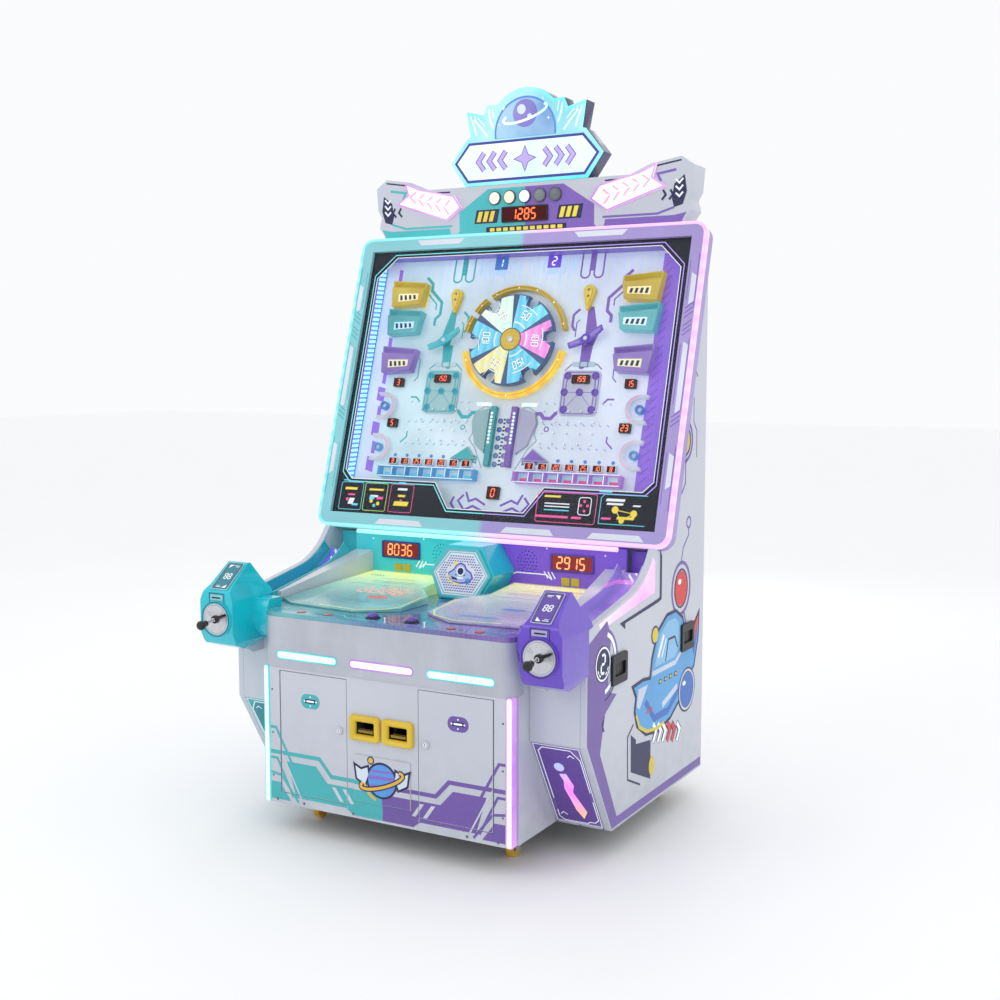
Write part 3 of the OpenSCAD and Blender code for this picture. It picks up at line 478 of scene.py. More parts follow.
def splitLit(name, left, right, power, pitch=0.05, spread=0.08):
    # lit plastic, one colour left of the middle and another on the right
    p = Paint(name)
    side = p.x.ramp(-spread, spread)
    dots = (p.z * (2 * pi / pitch)).sine() * 0.5 + 0.5
    shade = p.mix(side, p.mix(dots * 0.4, left[0], left[1]), p.mix(dots * 0.4, right[0], right[1]))
    return p.surface(p.mix(0.7, shade, (0, 0, 0)), (0.25 + p.noise(40, 3) * 0.12), coat=0.2, glow=shade, power=power)


def splitPrint(name, left, right, rough=0.3, glow=0, spread=0.01):
    # gloss print that changes colour at the middle, with printed dots and drift
    p = Paint(name)
    side = p.x.ramp(-spread, spread)
    drift = p.noise(3.1, 4).ramp(0.3, 0.7)
    dots = p.cells(260).ramp(0.1, 0.3)
    a = p.mix(drift, left, tuple(c * 0.85 for c in left))
    b = p.mix(drift, right, tuple(c * 0.85 for c in right))
    base = p.mix(side, a, b)
    base = p.mix(dots * 0.06, base, (0.9, 0.95, 1))
    return p.surface(base, (rough + drift * 0.08), normal=p.bump(p.noise(700, 2), 0.06, 0.0003), coat=0.15,
        specular=0.3, glow=base, power=glow)


ink = {}


def inkOf(name, color, glow=0, rough=0.32):
    # a printed or vinyl colour with a fine screen and slight fading
    if name not in ink:
        p = Paint("print" + name[0].upper() + name[1:])
        fade = p.noise(6, 4).ramp(0.3, 0.72)
        grain = p.noise(240, 3).ramp(0.35, 0.65)
        base = p.mix(fade, color, tuple(min(1, c * 0.84 + 0.015) for c in color))
        base = p.mix(grain * 0.05, base, (0.6, 0.62, 0.66))
        ink[name] = p.surface(base, (rough + grain * 0.06 + fade * 0.04), coat=0.05, specular=0.22,
            normal=p.bump(grain, 0.05, 0.0002), glow=base, power=glow)
    return ink[name]


def clearSheet(name, tint, alpha, rough=0.03):
    # clear acrylic: nearly no colour, light reflections, hairline scratches
    p = Paint(name)
    scratch = p.noise(60, 6, 0.75, (1, 14, 1)).ramp(0.66, 0.72)
    haze = p.noise(3, 3).ramp(0.35, 0.75)
    return p.surface(p.mix(haze, tint, tuple(c * 0.94 for c in tint)), (rough + scratch * 0.2 + haze * 0.02),
        alpha=(alpha + scratch * 0.03 + haze * 0.01), specular=0.25)


cabinetWhite = laminate("cabinetLaminate", tone["white"])
apronWhite = moulded("apronMoulding", (0.5, 0.53, 0.6), 0.3, 0.35, 500, 0.08)
printedFrame = splitPrint("frameFinish", (0.22, 0.6, 0.66), (0.36, 0.28, 0.64), 0.3, 0.04)
steelCoat = moulded("rearPowderCoat", (0.48, 0.5, 0.54), 0.5, 0, 1200, 0.35, 0.4, 0.94)
floorCoat = moulded("floorPowderCoat", (0.05, 0.052, 0.058), 0.5, 0, 1200, 0.35)
blackPlastic = moulded("blackPlastic", tone["black"], 0.42, 0.1, 1400, 0.3)
tealShell = moulded("tealShellPaint", tone["shellTeal"], 0.2, 0.6, 500, 0.05)
purpleShell = moulded("purpleShellPaint", tone["shellPurple"], 0.2, 0.6, 500, 0.05)
purpleWall = moulded("fieldWallPlastic", (0.24, 0.14, 0.72), 0.28, 0.4)
yellowPlastic = moulded("yellowMoulding", tone["yellow"], 0.26, 0.4, 700, 0.08)
whitePlastic = moulded("whiteMoulding", (0.78, 0.82, 0.88), 0.25, 0.4)
brushedSteel = metal("brushedSteel", (0.62, 0.63, 0.66))
polishedChrome = metal("polishedChrome", (0.82, 0.83, 0.86), 0.08, (1, 1, 1), 30, 0.03)
darkMetal = metal("darkMetal", (0.18, 0.18, 0.2), 0.38, (1, 1, 1), 40, 0.1)
fieldGlass = clearSheet("fieldGlass", (0.2, 0.24, 0.3), 0.03)
whiteGlow = lit("whiteGlow", (0.62, 0.95, 0.96), (0.97, 1, 0.98), 0.85, 0.4, 0.05)
ledRed = lit("ledSegment", (1, 0.1, 0.02), (1, 0.2, 0.05), 1.5)
ledOrange = lit("scoreSegment", (1, 0.35, 0.1), (1, 0.66, 0.3), 1.2)
ledBack = moulded("ledFilter", (0.07, 0.002, 0.003), 0.25, 0, specular=0.15)
print("finishes made")
# camera, soft lights and a pale floor
view = {"at": (2.218, -3.699, 1.479), "turn": 29.257, "tip": 84.246, "lens": 47.28}
cameraData = bpy.data.cameras.new("viewCamera")
cameraData.lens = view["lens"]
cameraData.sensor_width = 36
cameraData.sensor_fit = "HORIZONTAL"
camera = bpy.data.objects.new("viewCamera", cameraData)
camera.location = view["at"]
camera.rotation_euler = (radians(view["tip"]), 0, radians(view["turn"]))
bpy.context.scene.collection.objects.link(camera)
bpy.context.scene.camera = camera


def softBox(name, at, aim, size, power, color=(1, 1, 1)):
    data = bpy.data.lights.new(name, "AREA")
    data.shape = "RECTANGLE"
    data.size, data.size_y = size
    data.energy = power
    data.color = color
    obj = bpy.data.objects.new(name, data)
    obj.location = at
    obj.rotation_euler = (Vector(aim) - Vector(at)).to_track_quat("-Z", "Y").to_euler()
    bpy.context.scene.collection.objects.link(obj)


softBox("keyLight", (-2.6, -4.4, 4.2), (0, 0, 1), (2.6, 2.6), 30)
softBox("sideLight", (4.4, -0.6, 2.8), (0, 0, 1.1), (2.4, 2.8), 10)
softBox("topLight", (0, 0.4, 5), (0, 0, 1), (3.5, 3.5), 8)
softBox("rearLight", (-1.5, 4.6, 2.6), (0, 0, 1.2), (2.6, 2.6), 16)
world = bpy.data.worlds.new("studio")
world.use_nodes = True
world.node_tree.nodes["Background"].inputs[0].default_value = (0.985, 0.99, 1, 1)
world.node_tree.nodes["Background"].inputs[1].default_value = 0.98
bpy.context.scene.world = world
bpy.context.scene.view_settings.view_transform = "Standard"

floorMesh = bpy.data.meshes.new("studioFloor")
floorMesh.from_pydata([(-30, -30, 0), (30, -30, 0), (30, 30, 0), (-30, 30, 0)], [], [(0, 1, 2, 3)])
studioFloor = bpy.data.objects.new("studioFloor", floorMesh)
bpy.context.scene.collection.objects.link(studioFloor)
floorPaint = Paint("studioFloor")
floorMesh.materials.append(floorPaint.surface(floorPaint.mix(floorPaint.noise(1.5, 3).ramp(0.3, 0.7),
    (0.965, 0.968, 0.975), (0.955, 0.958, 0.965)), 0.6))
print("stage set")
# a finish for every node that is carried over
plain = {"base_frame": floorCoat, "console_back": purpleShell, "play_glass": fieldGlass, "play_board": whitePlastic,
    "board_walls": purpleWall, "wheel_motor": darkMetal}
for node in frame["nodes"]:
    dress(node, plain.get(node, cabinetWhite))
# the hinged frame round the playfield
field = {"halfWidth": 684, "length": 1094, "depth": 60, "border": 52, "corner": 46, "rim": 12, "middle": 547,
    "boardOut": -62, "glassBack": -13.4}
openHalf, openLow, openHigh = field["halfWidth"] - field["border"], field["border"], field["length"] - field["border"]
fieldBody = bodyOf["play_frame"]


@drawn(onSlope, printedFrame, fieldBody, "frame_print", 5, 3, hides=("play_frame",))
def playfieldFrame():
    outer = roundedRect(0, field["middle"], 2 * field["halfWidth"] - 1.2, field["length"] - 1.2, field["corner"], 8)
    inner = [(-openHalf, openLow), (openHalf, openLow), (openHalf, openHigh), (-openHalf, openHigh)]
    panel([outer, inner], -field["depth"], 0)


rimGlow = splitLit("frameRimGlow", ((0.18, 0.8, 0.86), (0.62, 0.98, 1)), ((0.93, 0.5, 0.95), (1, 0.78, 1)), 0.85)


@drawn(onSlope, rimGlow, fieldBody, "light_white", 3, 3)
def frameRim():
    w, h, r, t = 2 * field["halfWidth"], field["length"], field["corner"], field["rim"]
    ringSlab(roundedRect(0, field["middle"], w, h, r, 8), roundedRect(0, field["middle"], w - 2 * t, h - 2 * t, r - t,
        8), -26, 1.6)


upAxis = placeMatrix(slopeOrigin, (1, 0, 0), inward)   # local (x, depth, up the slope)


@drawn(upAxis, darkMetal, fieldBody, "steel", 0.8)
def frameHinges():
    for s in (210.3, 890.3):
        lathe([(7, s), (7, s + 59.4)], (-664, 68), 24)
        slab([(-671, 59), (-657, 59), (-657, 68), (-671, 68)], s, s + 59.4)


# printed shapes on the frame: pale trapezoids, double lines and ticks


@drawn(onSlope, inkOf("framePale", (0.66, 0.7, 0.78), 0.15), fieldBody, "frame_print")
def framePrintPale():
    for cx, s, sign in ((-340, field["length"] - 22, -1), (300, field["length"] - 22, -1), (-330, 22, 1),
            (180, 22, 1), (500, 22, 1)):
        slab([(cx - 100, s - sign * 6), (cx + 100, s - sign * 6), (cx + 82, s + sign * 14), (cx - 82, s + sign * 14)],
            0, 0.5)
    for side in (-1, 1):
        x = side * 658
        for s, h in ((560, 240), (250, 120), (860, 110)):
            slab([(x - 9, s - h / 2), (x + 9, s - h / 2 + 12), (x + 9, s + h / 2 - 12), (x - 9, s + h / 2)], 0, 0.5)


frameInk = splitPrint("frameLineInk", (0.02, 0.46, 0.52), (0.2, 0.09, 0.5), 0.3, 0.05)


@drawn(onSlope, frameInk, fieldBody, "frame_print")
def framePrintLines():
    for side in (-1, 1):
        for s0 in (395, 700, 760):
            for k in range(3):
                s = s0 + k * 16
                stroke([(side * 640, s), (side * 668, s + 22)], 4, 0, 0.5)
        for s0, s1 in ((120, 330), (450, 690), (800, 980)):
            stroke([(side * 668, s0), (side * 668, s1)], 3, 0.1, 0.6)
            stroke([(side * 640, s0 + 20), (side * 640, s1 - 20)], 2.4, 0.1, 0.6)


# border print behind the glass
border = {"side": 604, "top": 1020, "chamfer": 78, "panelTop": 178, "notchTop": 215, "notchLow": 150, "low": 88}


def borderLoop(grow=0):
    b = border
    x, t, c = b["side"] - grow, b["top"] - grow, b["chamfer"]
    return [(-x, b["panelTop"] + grow + 34), (-x + 34, b["panelTop"] + grow),
        (-b["notchTop"] + grow * 0.4, b["panelTop"] + grow), (-b["notchLow"] + grow * 0.4, b["low"] + grow),
        (b["notchLow"] - grow * 0.4, b["low"] + grow), (b["notchTop"] - grow * 0.4, b["panelTop"] + grow),
        (x - 34, b["panelTop"] + grow), (x, b["panelTop"] + grow + 34), (x, t - c), (x - c, t), (-x + c, t),
        (-x, t - c)]


def drawBorderLine(grow, width):
    stroke(borderLoop(grow), width, field["glassBack"] - 0.2, field["glassBack"] + 0.25, True)


borderPaint = Paint("borderBlack")
blackInk = borderPaint.surface(borderPaint.mix(borderPaint.noise(8, 4).ramp(0.3, 0.7), (0.008, 0.008, 0.014),
    (0.014, 0.014, 0.022)), (0.4 + borderPaint.noise(60, 3) * 0.1), specular=0.2)


@drawn(onSlope, blackInk, fieldBody, "frame_print")
def borderPrint():
    outer = [(-openHalf, openLow), (openHalf, openLow), (openHalf, openHigh), (-openHalf, openHigh)]
    panel([outer, borderLoop()], field["glassBack"] - 0.5, field["glassBack"])


lineGlow = splitPrint("borderLineInk", (0.12, 0.75, 0.8), (0.4, 0.25, 0.85), 0.25, 0.45)
piece("borderLine", lambda: drawBorderLine(-9, 3.4), onSlope, lineGlow, fieldBody, "frame_print")
piece("borderLineWhite", lambda: drawBorderLine(1.5, 2.6), onSlope, inkOf("borderWhite", (0.75, 0.82, 0.88), 0.4),
    fieldBody, "frame_print")

# info panels: outlined boxes with plain pictograms of balls, bars and pockets
infoAt = {"leftBoxes": (-560, -455, -345), "s": 115, "w": 96, "h": 100, "rightBox": (305, 150)}
pictoD0, pictoD1 = field["glassBack"] - 0.1, field["glassBack"] + 0.3


def infoOutlines(which):
    if which < 3:
        stroke(roundedRect(infoAt["leftBoxes"][which], infoAt["s"], infoAt["w"], infoAt["h"], 7), 2, pictoD0, pictoD1,
            True)
    elif which == 3:
        stroke(roundedRect(infoAt["rightBox"][0], infoAt["s"], infoAt["rightBox"][1] * 1.45, infoAt["h"], 8), 2.4,
            pictoD0, pictoD1, True)
    else:
        stroke([(590, 168), (440, 168), (428, 156), (428, 70), (590, 70)], 2.4, pictoD0, pictoD1)


def infoBars(spots):
    for x, s, w, h in spots:
        slab([(x - w / 2, s - h / 2), (x + w / 2, s - h / 2), (x + w / 2 + h * 0.3, s + h / 2),
            (x - w / 2 + h * 0.3, s + h / 2)], pictoD0, pictoD1)


def infoDots(spots):
    for x, s, r in spots:
        slab(circlePoints(x, s, r, 20), pictoD0, pictoD1)


cyanInk = inkOf("infoCyan", (0.1, 0.62, 0.78), 0.35)
goldInk = inkOf("infoYellow", (0.85, 0.66, 0.04), 0.3)
pinkInk = inkOf("infoPink", (0.85, 0.08, 0.32), 0.3)
paleInk = inkOf("infoPale", (0.8, 0.84, 0.88), 0.3)
greenInk = inkOf("infoGreen", (0.45, 0.75, 0.12), 0.3)
for which, material in enumerate((cyanInk, greenInk, pinkInk, pinkInk, cyanInk)):
    piece("infoOutline%d" % which, lambda k=which: infoOutlines(k), onSlope, material, fieldBody, "frame_print")
piece("infoYellow", lambda: (infoBars([(-565, 142, 52, 9), (-455, 142, 62, 7), (-345, 96, 60, 16), (-345, 124, 30, 8),
    (250, 152, 60, 7), (520, 92, 60, 9)]), infoDots([(482, 118, 12), (548, 108, 12), (508, 84, 10), (-470, 100, 7),
    (-440, 92, 7)]), stroke([(482, 118), (548, 108), (508, 84)], 3, pictoD0, pictoD1, True)), onSlope, goldInk,
    fieldBody, "frame_print")
piece("infoPinkMarks", lambda: (infoBars([(-560, 120, 30, 6), (255, 84, 120, 8), (345, 84, 36, 8),
    (-436, 112, 26, 10), (452, 88, 34, 7), (-345, 108, 10, 5)]),
    infoDots([(370, 140, 5), (382, 126, 5), (358, 126, 5), (372, 108, 5), (-575, 102, 6)])), onSlope, pinkInk,
    fieldBody, "frame_print")
piece("infoPaleMarks", lambda: (infoBars([(-560, 96, 22, 22), (-345, 148, 40, 8), (270, 128, 92, 4),
    (270, 118, 92, 4), (478, 150, 66, 9), (478, 137, 58, 7), (-462, 118, 34, 8), (555, 134, 26, 5)]),
    stroke(roundedRect(372, 124, 44, 58, 9), 3, pictoD0, pictoD1, True)), onSlope, paleInk, fieldBody, "frame_print")
piece("infoCyanMarks", lambda: (infoBars([(-590, 172, 26, 4), (-350, 172, 30, 4), (440, 176, 46, 5),
    (-540, 84, 26, 8), (-470, 112, 22, 12), (270, 106, 92, 4)]), infoDots([(-455, 84, 6)])), onSlope, cyanInk,
    fieldBody, "frame_print")
print("playfield frame made")
# printed board behind the glass
boardOut = field["boardOut"]
printLow, printHigh = boardOut + 0.1, boardOut + 0.7


def makeBoardPaint():
    # backlit print: pale middle, teal haze left, lilac haze right, screen dots, soft vertical rays at the top
    p = Paint("boardPrint")
    haze = abs(p.x).ramp(0.05, 0.62)
    top = p.z.ramp(1.55, 1.93)
    rays = (p.x * 190).sine() * 0.5 + 0.5
    cloud = p.noise(4.5, 5).ramp(0.35, 0.7)
    base = p.mix(cloud, (0.42, 0.5, 0.57), (0.62, 0.72, 0.8))
    base = p.mix(haze * p.x.ramp(-0.02, 0.02, 1, 0) * 0.32, base, (0.18, 0.72, 0.78))
    base = p.mix(haze * p.x.ramp(-0.02, 0.02) * 0.26, base, (0.56, 0.45, 0.9))
    base = p.mix(top * rays * 0.5, base, (0.42, 0.55, 0.95))
    dots = p.cells(190).ramp(0.12, 0.3)
    base = p.mix(dots * 0.05, base, (1, 1, 1))
    return p.surface(base, (0.36 + cloud * 0.08), coat=0.3, normal=p.bump(dots, 0.04, 0.0003), glow=base, power=0.3)


boardPaint = makeBoardPaint()
dress("play_board", boardPaint)
tealInk = inkOf("boardTeal", (0.03, 0.44, 0.48), 0.12)
violetInk = inkOf("boardViolet", (0.22, 0.11, 0.52), 0.12)
slateInk = inkOf("boardSlate", (0.33, 0.42, 0.47), 0.12)
mistInk = inkOf("boardMist", (0.4, 0.56, 0.62), 0.25)
navyInk = inkOf("boardNavy", tone["navy"], 0.02)


@drawnPair(onSlope, tealInk, violetInk, slot="board_print")
def boardCircuits():
    # drawn for the right half
    a, b = printLow, printHigh
    stroke([(412, 956), (384, 930), (384, 905), (334, 858), (334, 812), (352, 795), (352, 770)], 11, a, b)
    stroke([(438, 934), (404, 898), (356, 852), (356, 830)], 5, a, b)
    stroke([(232, 820), (210, 800), (210, 760), (222, 742)], 9, a, b)
    stroke([(236, 782), (226, 772), (226, 720)], 4, a, b)
    slab([(262, 828), (284, 828), (312, 726), (300, 690), (276, 690), (264, 726)], a, b)
    slab([(270, 700), (300, 700), (292, 612), (276, 612)], a, b)
    slab(roundedRect(266, 650, 18, 88, 5), a, b)
    stroke([(205, 600), (228, 622), (325, 622), (344, 604)], 4, a, b)
    stroke([(196, 452), (176, 430), (150, 430), (136, 446), (118, 446)], 13, a, b)
    stroke([(136, 302), (92, 286), (92, 262)], 5, a, b)
    stroke([(420, 330), (396, 352), (396, 372)], 5, a, b)
    stroke([(404, 500), (380, 500), (366, 486)], 6, a, b)
    stroke([(402, 560), (388, 574), (388, 640), (402, 654)], 4, a, b)
    for s in (330, 412, 486):
        for k in range(9):
            x = 150 + k * 30
            stroke([(x, s), (x + 9, s - 7)], 2, a, b)
    stroke(circlePoints(166, 392, 8, 20), 4, a, b, True)
    slab([(92, 264), (196, 268), (134, 314)], a, b)


@drawnPair(onSlope, slateInk, slateInk, slot="board_print")
def boardShield():
    # the shield beside the lamp column
    stroke([(62, 462), (84, 470), (116, 452), (130, 414), (122, 372), (134, 350), (104, 318), (66, 246)], 4, printLow,
        printHigh)
    slab([(64, 456), (110, 442), (122, 410), (100, 340), (64, 296)], printLow, printLow + 0.3)


@drawnPair(onSlope, inkOf("badgeTeal", (0.02, 0.16, 0.55), 0.3), inkOf("badgeViolet", (0.14, 0.05, 0.62), 0.3),
    slot="board_print")
def boardBadge():
    slab(roundedRect(106, 1000, 52, 50, 3), printLow, printHigh)


@drawn(onSlope, inkOf("boardStreak", (0.42, 0.62, 0.92), 0.4), slot="board_print", both=True)
def boardStreaks():
    for k, (x, low, w) in enumerate(((30, 940, 5), (48, 905, 3), (66, 950, 8), (84, 925, 4), (106, 948, 40),
            (134, 912, 5), (150, 950, 9), (170, 930, 4), (188, 956, 12), (214, 938, 4))):
        slab([(x - w / 2, low), (x + w / 2, low + 6), (x + w / 2, 1010), (x - w / 2, 1010)], printLow - 0.05,
            printLow + 0.2 + k * 0.01)


@drawnPair(onSlope, tealInk, violetInk, slot="board_print")
def boardCapsules():
    # tall capsule lamps either side of the badges
    for x, w in ((232, 34), (282, 34)):
        stroke(roundedRect(x, 985, w, 104, w / 2 - 1), 6, printLow, printHigh, True)
    slab(roundedRect(257, 992, 20, 66, 8), printLow, printHigh + 0.2)


@drawnPair(onSlope, violetInk, violetInk, slot="board_print")
def boardCrest():
    # interlaced lines below the score window
    for pts in ([(40, 96), (78, 112), (112, 96), (140, 128), (120, 150)],
            [(30, 118), (70, 138), (96, 128), (112, 160)], [(150, 96), (168, 118), (158, 142)],
            [(20, 84), (60, 92), (92, 84)]):
        stroke(pts, 8, printLow, printHigh)


piece("badgeNumbers", lambda: (drawDigits("1", -109, 1000, 30, printHigh, printHigh + 0.5, 5),
    drawDigits("2", 106, 1000, 30, printHigh, printHigh + 0.5, 5)), onSlope,
    inkOf("numberWhite", (0.85, 0.88, 0.95), 0.6), slot="board_print")


# printed corner scenes under the side pockets: yellow sheets and hatching
@drawnPair(onSlope, goldInk, goldInk, slot="board_print")
def pocketSheet():
    slab([(392, 905), (500, 934), (498, 850), (400, 838)], printLow, printHigh)


@drawnPair(onSlope, navyInk, navyInk, slot="board_print")
def pocketSheetHatch():
    for k in range(4):
        stroke([(408 + k * 20, 862), (420 + k * 20, 876)], 5, printHigh, printHigh + 0.3)
    stroke([(404, 852), (486, 862)], 3, printHigh, printHigh + 0.3)


# side strips along the walls
strip = {"x0": 488, "x1": 590, "low": 190, "high": 1010}


violetPlate = inkOf("stripViolet", (0.26, 0.13, 0.66), 0.35)


@drawnPair(onSlope, inkOf("stripPale", (0.62, 0.66, 0.85), 0.3), violetPlate, slot="board_print")
def wallStrip():
    slab([(strip["x0"] + 30, strip["low"]), (strip["x1"], strip["low"]), (strip["x1"], strip["high"]),
        (strip["x0"] + 30, strip["high"])], printLow, printHigh)


@drawn(onSlope, violetInk, slot="board_print")
def wallStripTicks():
    for k in range(26):
        s = 215 + k * 30
        stroke([(528, s), (556, s + 26)], 3, printHigh, printHigh + 0.4)


@drawn(onSlope, violetPlate, slot="board_print", flip=True)
def wallStripBlocks():
    for k in range(6):
        s = 215 + k * 132
        slab([(520, s), (552, s + 8), (552, s + 60), (520, s + 52)], printHigh, printHigh + 0.4)
        slab([(524, s + 68), (540, s + 72), (540, s + 118), (524, s + 112)], printHigh, printHigh + 0.4)


def makeDotGlow():
    p = Paint("dottedStripGlow")
    dots = ((p.z * 380).sine() * 0.5 + 0.5) > 0.35
    shade = p.mix(dots, (0.1, 0.3, 0.75), (0.45, 1, 1))
    return p.surface(shade, (0.3 + p.noise(50, 3) * 0.1), glow=shade, power=0.9)


@drawn(onSlope, makeDotGlow(), slot="light_white", bevel=1)
def wallLampStrip():
    # a dotted light strip down the left inner wall
    slab([(-602, 150), (-596, 150), (-596, 1005), (-602, 1005)], -58, -16)


print("board printed")
# prize wheel: disc, lit segments, numbers and hub
wheel = {"r": 165, "notchAt": 4, "notchR": 23, "front": -16, "back": -42, "hub": 38}
wheelBody = bodyOf["prize_wheel"]
onWheel = onSlope @ Matrix.Translation((0, wheelS, 0))


def wheelOutline(r, notch, count=14):
    # a disc with six round bites, from one notch to the next
    points = []
    reach = r - 14
    for k in range(6):
        a = radians(wheel["notchAt"] + 60 * k)
        cx, cy = reach * cos(a), reach * sin(a)
        half = acos((r * r + reach * reach - notch * notch) / (2 * r * reach))
        turn = acos(max(-1, min(1, (r * cos(half) - reach) / notch)))
        for i in range(count + 1):
            t = a - turn - (2 * pi - 2 * turn) * i / count
            points.append((cx + notch * cos(t), cy + notch * sin(t)))
        for i in range(1, 10):
            t = a + half + (radians(60) - 2 * half) * i / 10
            points.append((r * cos(t), r * sin(t)))
    return points


def wedge(a0, a1, r0, r1):
    return arcPoints(0, 0, r1, a0, a1, 12) + arcPoints(0, 0, r0, a1, a0, 12)


wheelCore = lit("wheelRimNavy", (0.02, 0.03, 0.2), (0.05, 0.2, 0.55), 0.25)
piece("wheelDisc", lambda: slab(wheelOutline(wheel["r"], wheel["notchR"]), wheel["back"], wheel["front"] - 1.2),
    onWheel, wheelCore, wheelBody, "wheel_print", 1.5, 3, hides=("prize_wheel",))
segmentFinish = {"cyan": lit("wheelCyan", (0.02, 0.42, 0.75), (0.25, 0.85, 1), 0.75, 0.3, 0.03),
    "magenta": lit("wheelMagenta", (0.8, 0.06, 0.55), (1, 0.4, 0.92), 0.75, 0.3, 0.03),
    "cream": lit("wheelCream", (0.8, 0.72, 0.2), (1, 1, 0.72), 0.75, 0.3, 0.03),
    "pale": lit("wheelPale", (0.55, 0.85, 0.75), (0.95, 1, 0.85), 0.78, 0.3, 0.03)}
segments = [(-30, "magenta", "100"), (30, "cyan", "50"), (90, "pale", "75"), (150, "cyan", "100"),
    (210, "cream", "25"), (270, "cyan", "150")]


def clippedWedge(a0, a1, r0, r1, notch, d0, d1):
    # a wedge whose outer corner is cut by the wheel's notches
    points = [p for p in wheelOutline(r1, notch) if radians(0.8) <= (atan2(p[1],
        p[0]) - radians(a0)) % (2 * pi) <= radians(a1 - a0 - 0.8)]
    points.sort(key=lambda p: (atan2(p[1], p[0]) - radians(a0)) % (2 * pi))
    slab(points + arcPoints(0, 0, r0, a1 - 1.5, a0 + 1.5, 8), d0, d1)


for index, (start, colour, text) in enumerate(segments):
    piece("wheelSegment%d" % index, lambda a=start: clippedWedge(a, a + 60, 42, wheel["r"] - 4, wheel["notchR"] + 3.5,
        wheel["front"] - 1.2, wheel["front"]), onWheel, segmentFinish[colour], wheelBody, "wheel_print", 0.5)


def turned(points, degrees, r):
    a = radians(degrees)
    return [(r * cos(a) + (y * cos(a) + x * sin(a)), r * sin(a) + (y * sin(a) - x * cos(a))) for x, y in points]


def wheelNumbers(grow, d0, d1):
    for start, _, text in segments:
        drawDigits(text, 0, 0, 27, d0, d1, 4.6 + grow, lambda p, a=start + 30: turned([p], a, 98)[0])


piece("wheelNumberEdge", lambda: wheelNumbers(4, wheel["front"] - 0.1, wheel["front"] + 0.25), onWheel, navyInk,
    wheelBody, "wheel_print")
piece("wheelNumbers", lambda: wheelNumbers(0, wheel["front"], wheel["front"] + 0.5), onWheel,
    lit("wheelNumberWhite", (0.85, 0.92, 1), (1, 1, 1), 0.85), wheelBody, "wheel_print")


@drawn(onWheel, lit("wheelRingPale", (0.55, 0.85, 1), (0.9, 1, 1), 0.7), wheelBody, "wheel_print")
def wheelRings():
    for start, _, _ in segments:
        slab(wedge(start + 6, start + 54, 60, 66), wheel["front"] - 0.2, wheel["front"] + 0.3)
        slab(wedge(start + 12, start + 48, 124, 128), wheel["front"] - 0.2, wheel["front"] + 0.3)


def wheelHubCap():
    f = wheel["front"]
    lathe([(wheel["hub"], f - 2), (wheel["hub"], f + 0.6), (wheel["hub"] - 2.5, f + 1.5), (14, f + 1.5)], count=48)


piece("wheelHub", wheelHubCap, onWheel, moulded("hubGold", (0.78, 0.52, 0.015), 0.3, 0.3), wheelBody, "wheel_print",
    0.4)


@drawn(onWheel, brushedSteel, wheelBody, "steel", 0.3)
def wheelHubScrews():
    f = wheel["front"] + 1.5
    lathe([(12, f - 3), (12, f + 1.2), (10, f + 2.4), (4.2, f + 2.4), (4, f + 0.6)], count=32)
    for a in (0, 60, 120, 180, 240, 300):
        t = radians(a)
        lathe([(2.2, f - 1), (2.2, f + 0.8), (1.4, f + 1.2)], (26 * cos(t), 26 * sin(t)), 16)


# guide arcs, teardrops, lamp boards and columns
guides = {"back": -61.7}
arcGlow = lit("guideArcGlow", (0.95, 0.5, 0.01), (1, 0.82, 0.06), 0.75, 0.5, 0.05)
arcGold = moulded("guideGold", (0.72, 0.5, 0.008), 0.28, 0.4)


def archBand(a0, a1, r0, r1, low, high, lip=5):
    # a moulded channel: flat band with raised lips
    points = lambda ra, rb: arcPoints(0, 0, rb, a0, a1, 40) + arcPoints(0, 0, ra, a1, a0, 40)
    slab(points(r0, r1), low, high - 5)
    slab(points(r0, r0 + lip), high - 5.1, high)
    slab(points(r1 - lip, r1), high - 5.1, high)


piece("lowerArc", lambda: archBand(190, 350, 186, 204, guides["back"], -38), onWheel, arcGlow, slot="guide_mix",
    bevel=1.2, segments=3)
piece("lowerArcTrack", lambda: stroke(arcPoints(0, 0, 195, 194, 346, 40), 3, -43.2, -42.4), onWheel,
    inkOf("arcAmber", (0.75, 0.3, 0.01), 0.4), slot="guide_mix")
piece("upperArc", lambda: (archBand(12, 124, 188, 204, guides["back"], -34),
    archBand(130, 147, 192, 208, guides["back"], -34), archBand(152, 169, 192, 208, guides["back"], -34)), onWheel,
    arcGold, slot="guide_mix", bevel=1.2, segments=3)


@drawn(onWheel, polishedChrome, slot="chrome")
def arcScrews():
    for a, r in ((18, 196), (45, 196), (70, 196), (92, 196), (118, 196), (138, 200), (160, 200), (200, 195),
            (270, 195), (340, 195)):
        t = radians(a)
        top = -38.8 if a < 185 else -42.8
        lathe([(3.6, top - 2), (3.6, top + 0.6), (2.4, top + 1.5)], (r * cos(t), r * sin(t)), 18)


onTear = onWheel @ Matrix.Translation((265, 0, 0))


@drawn(onTear, moulded("tearGold", (0.85, 0.6, 0.01), 0.22, 0.5), slot="guide_mix", bevel=2, segments=3, both=True)
def teardrops():
    front = -40
    tip = [(-4, 112), (4, 112)]
    slab(tip + [(22, 176)] + arcPoints(0, 180, 22, 0, 180, 18) + [(-22, 176)], guides["back"], front - 3)
    slab([(-2.5, 124), (2.5, 124), (14, 172)] + arcPoints(0, 178, 14, 0, 180, 14) + [(-14, 172)], front - 3.1, front)


@drawn(onTear, darkMetal, slot="steel", both=True)
def tearScrews():
    for y in (182, 160):
        lathe([(4.2, -41), (4.2, -39.4), (2.6, -38.8)], (0, y), 18)


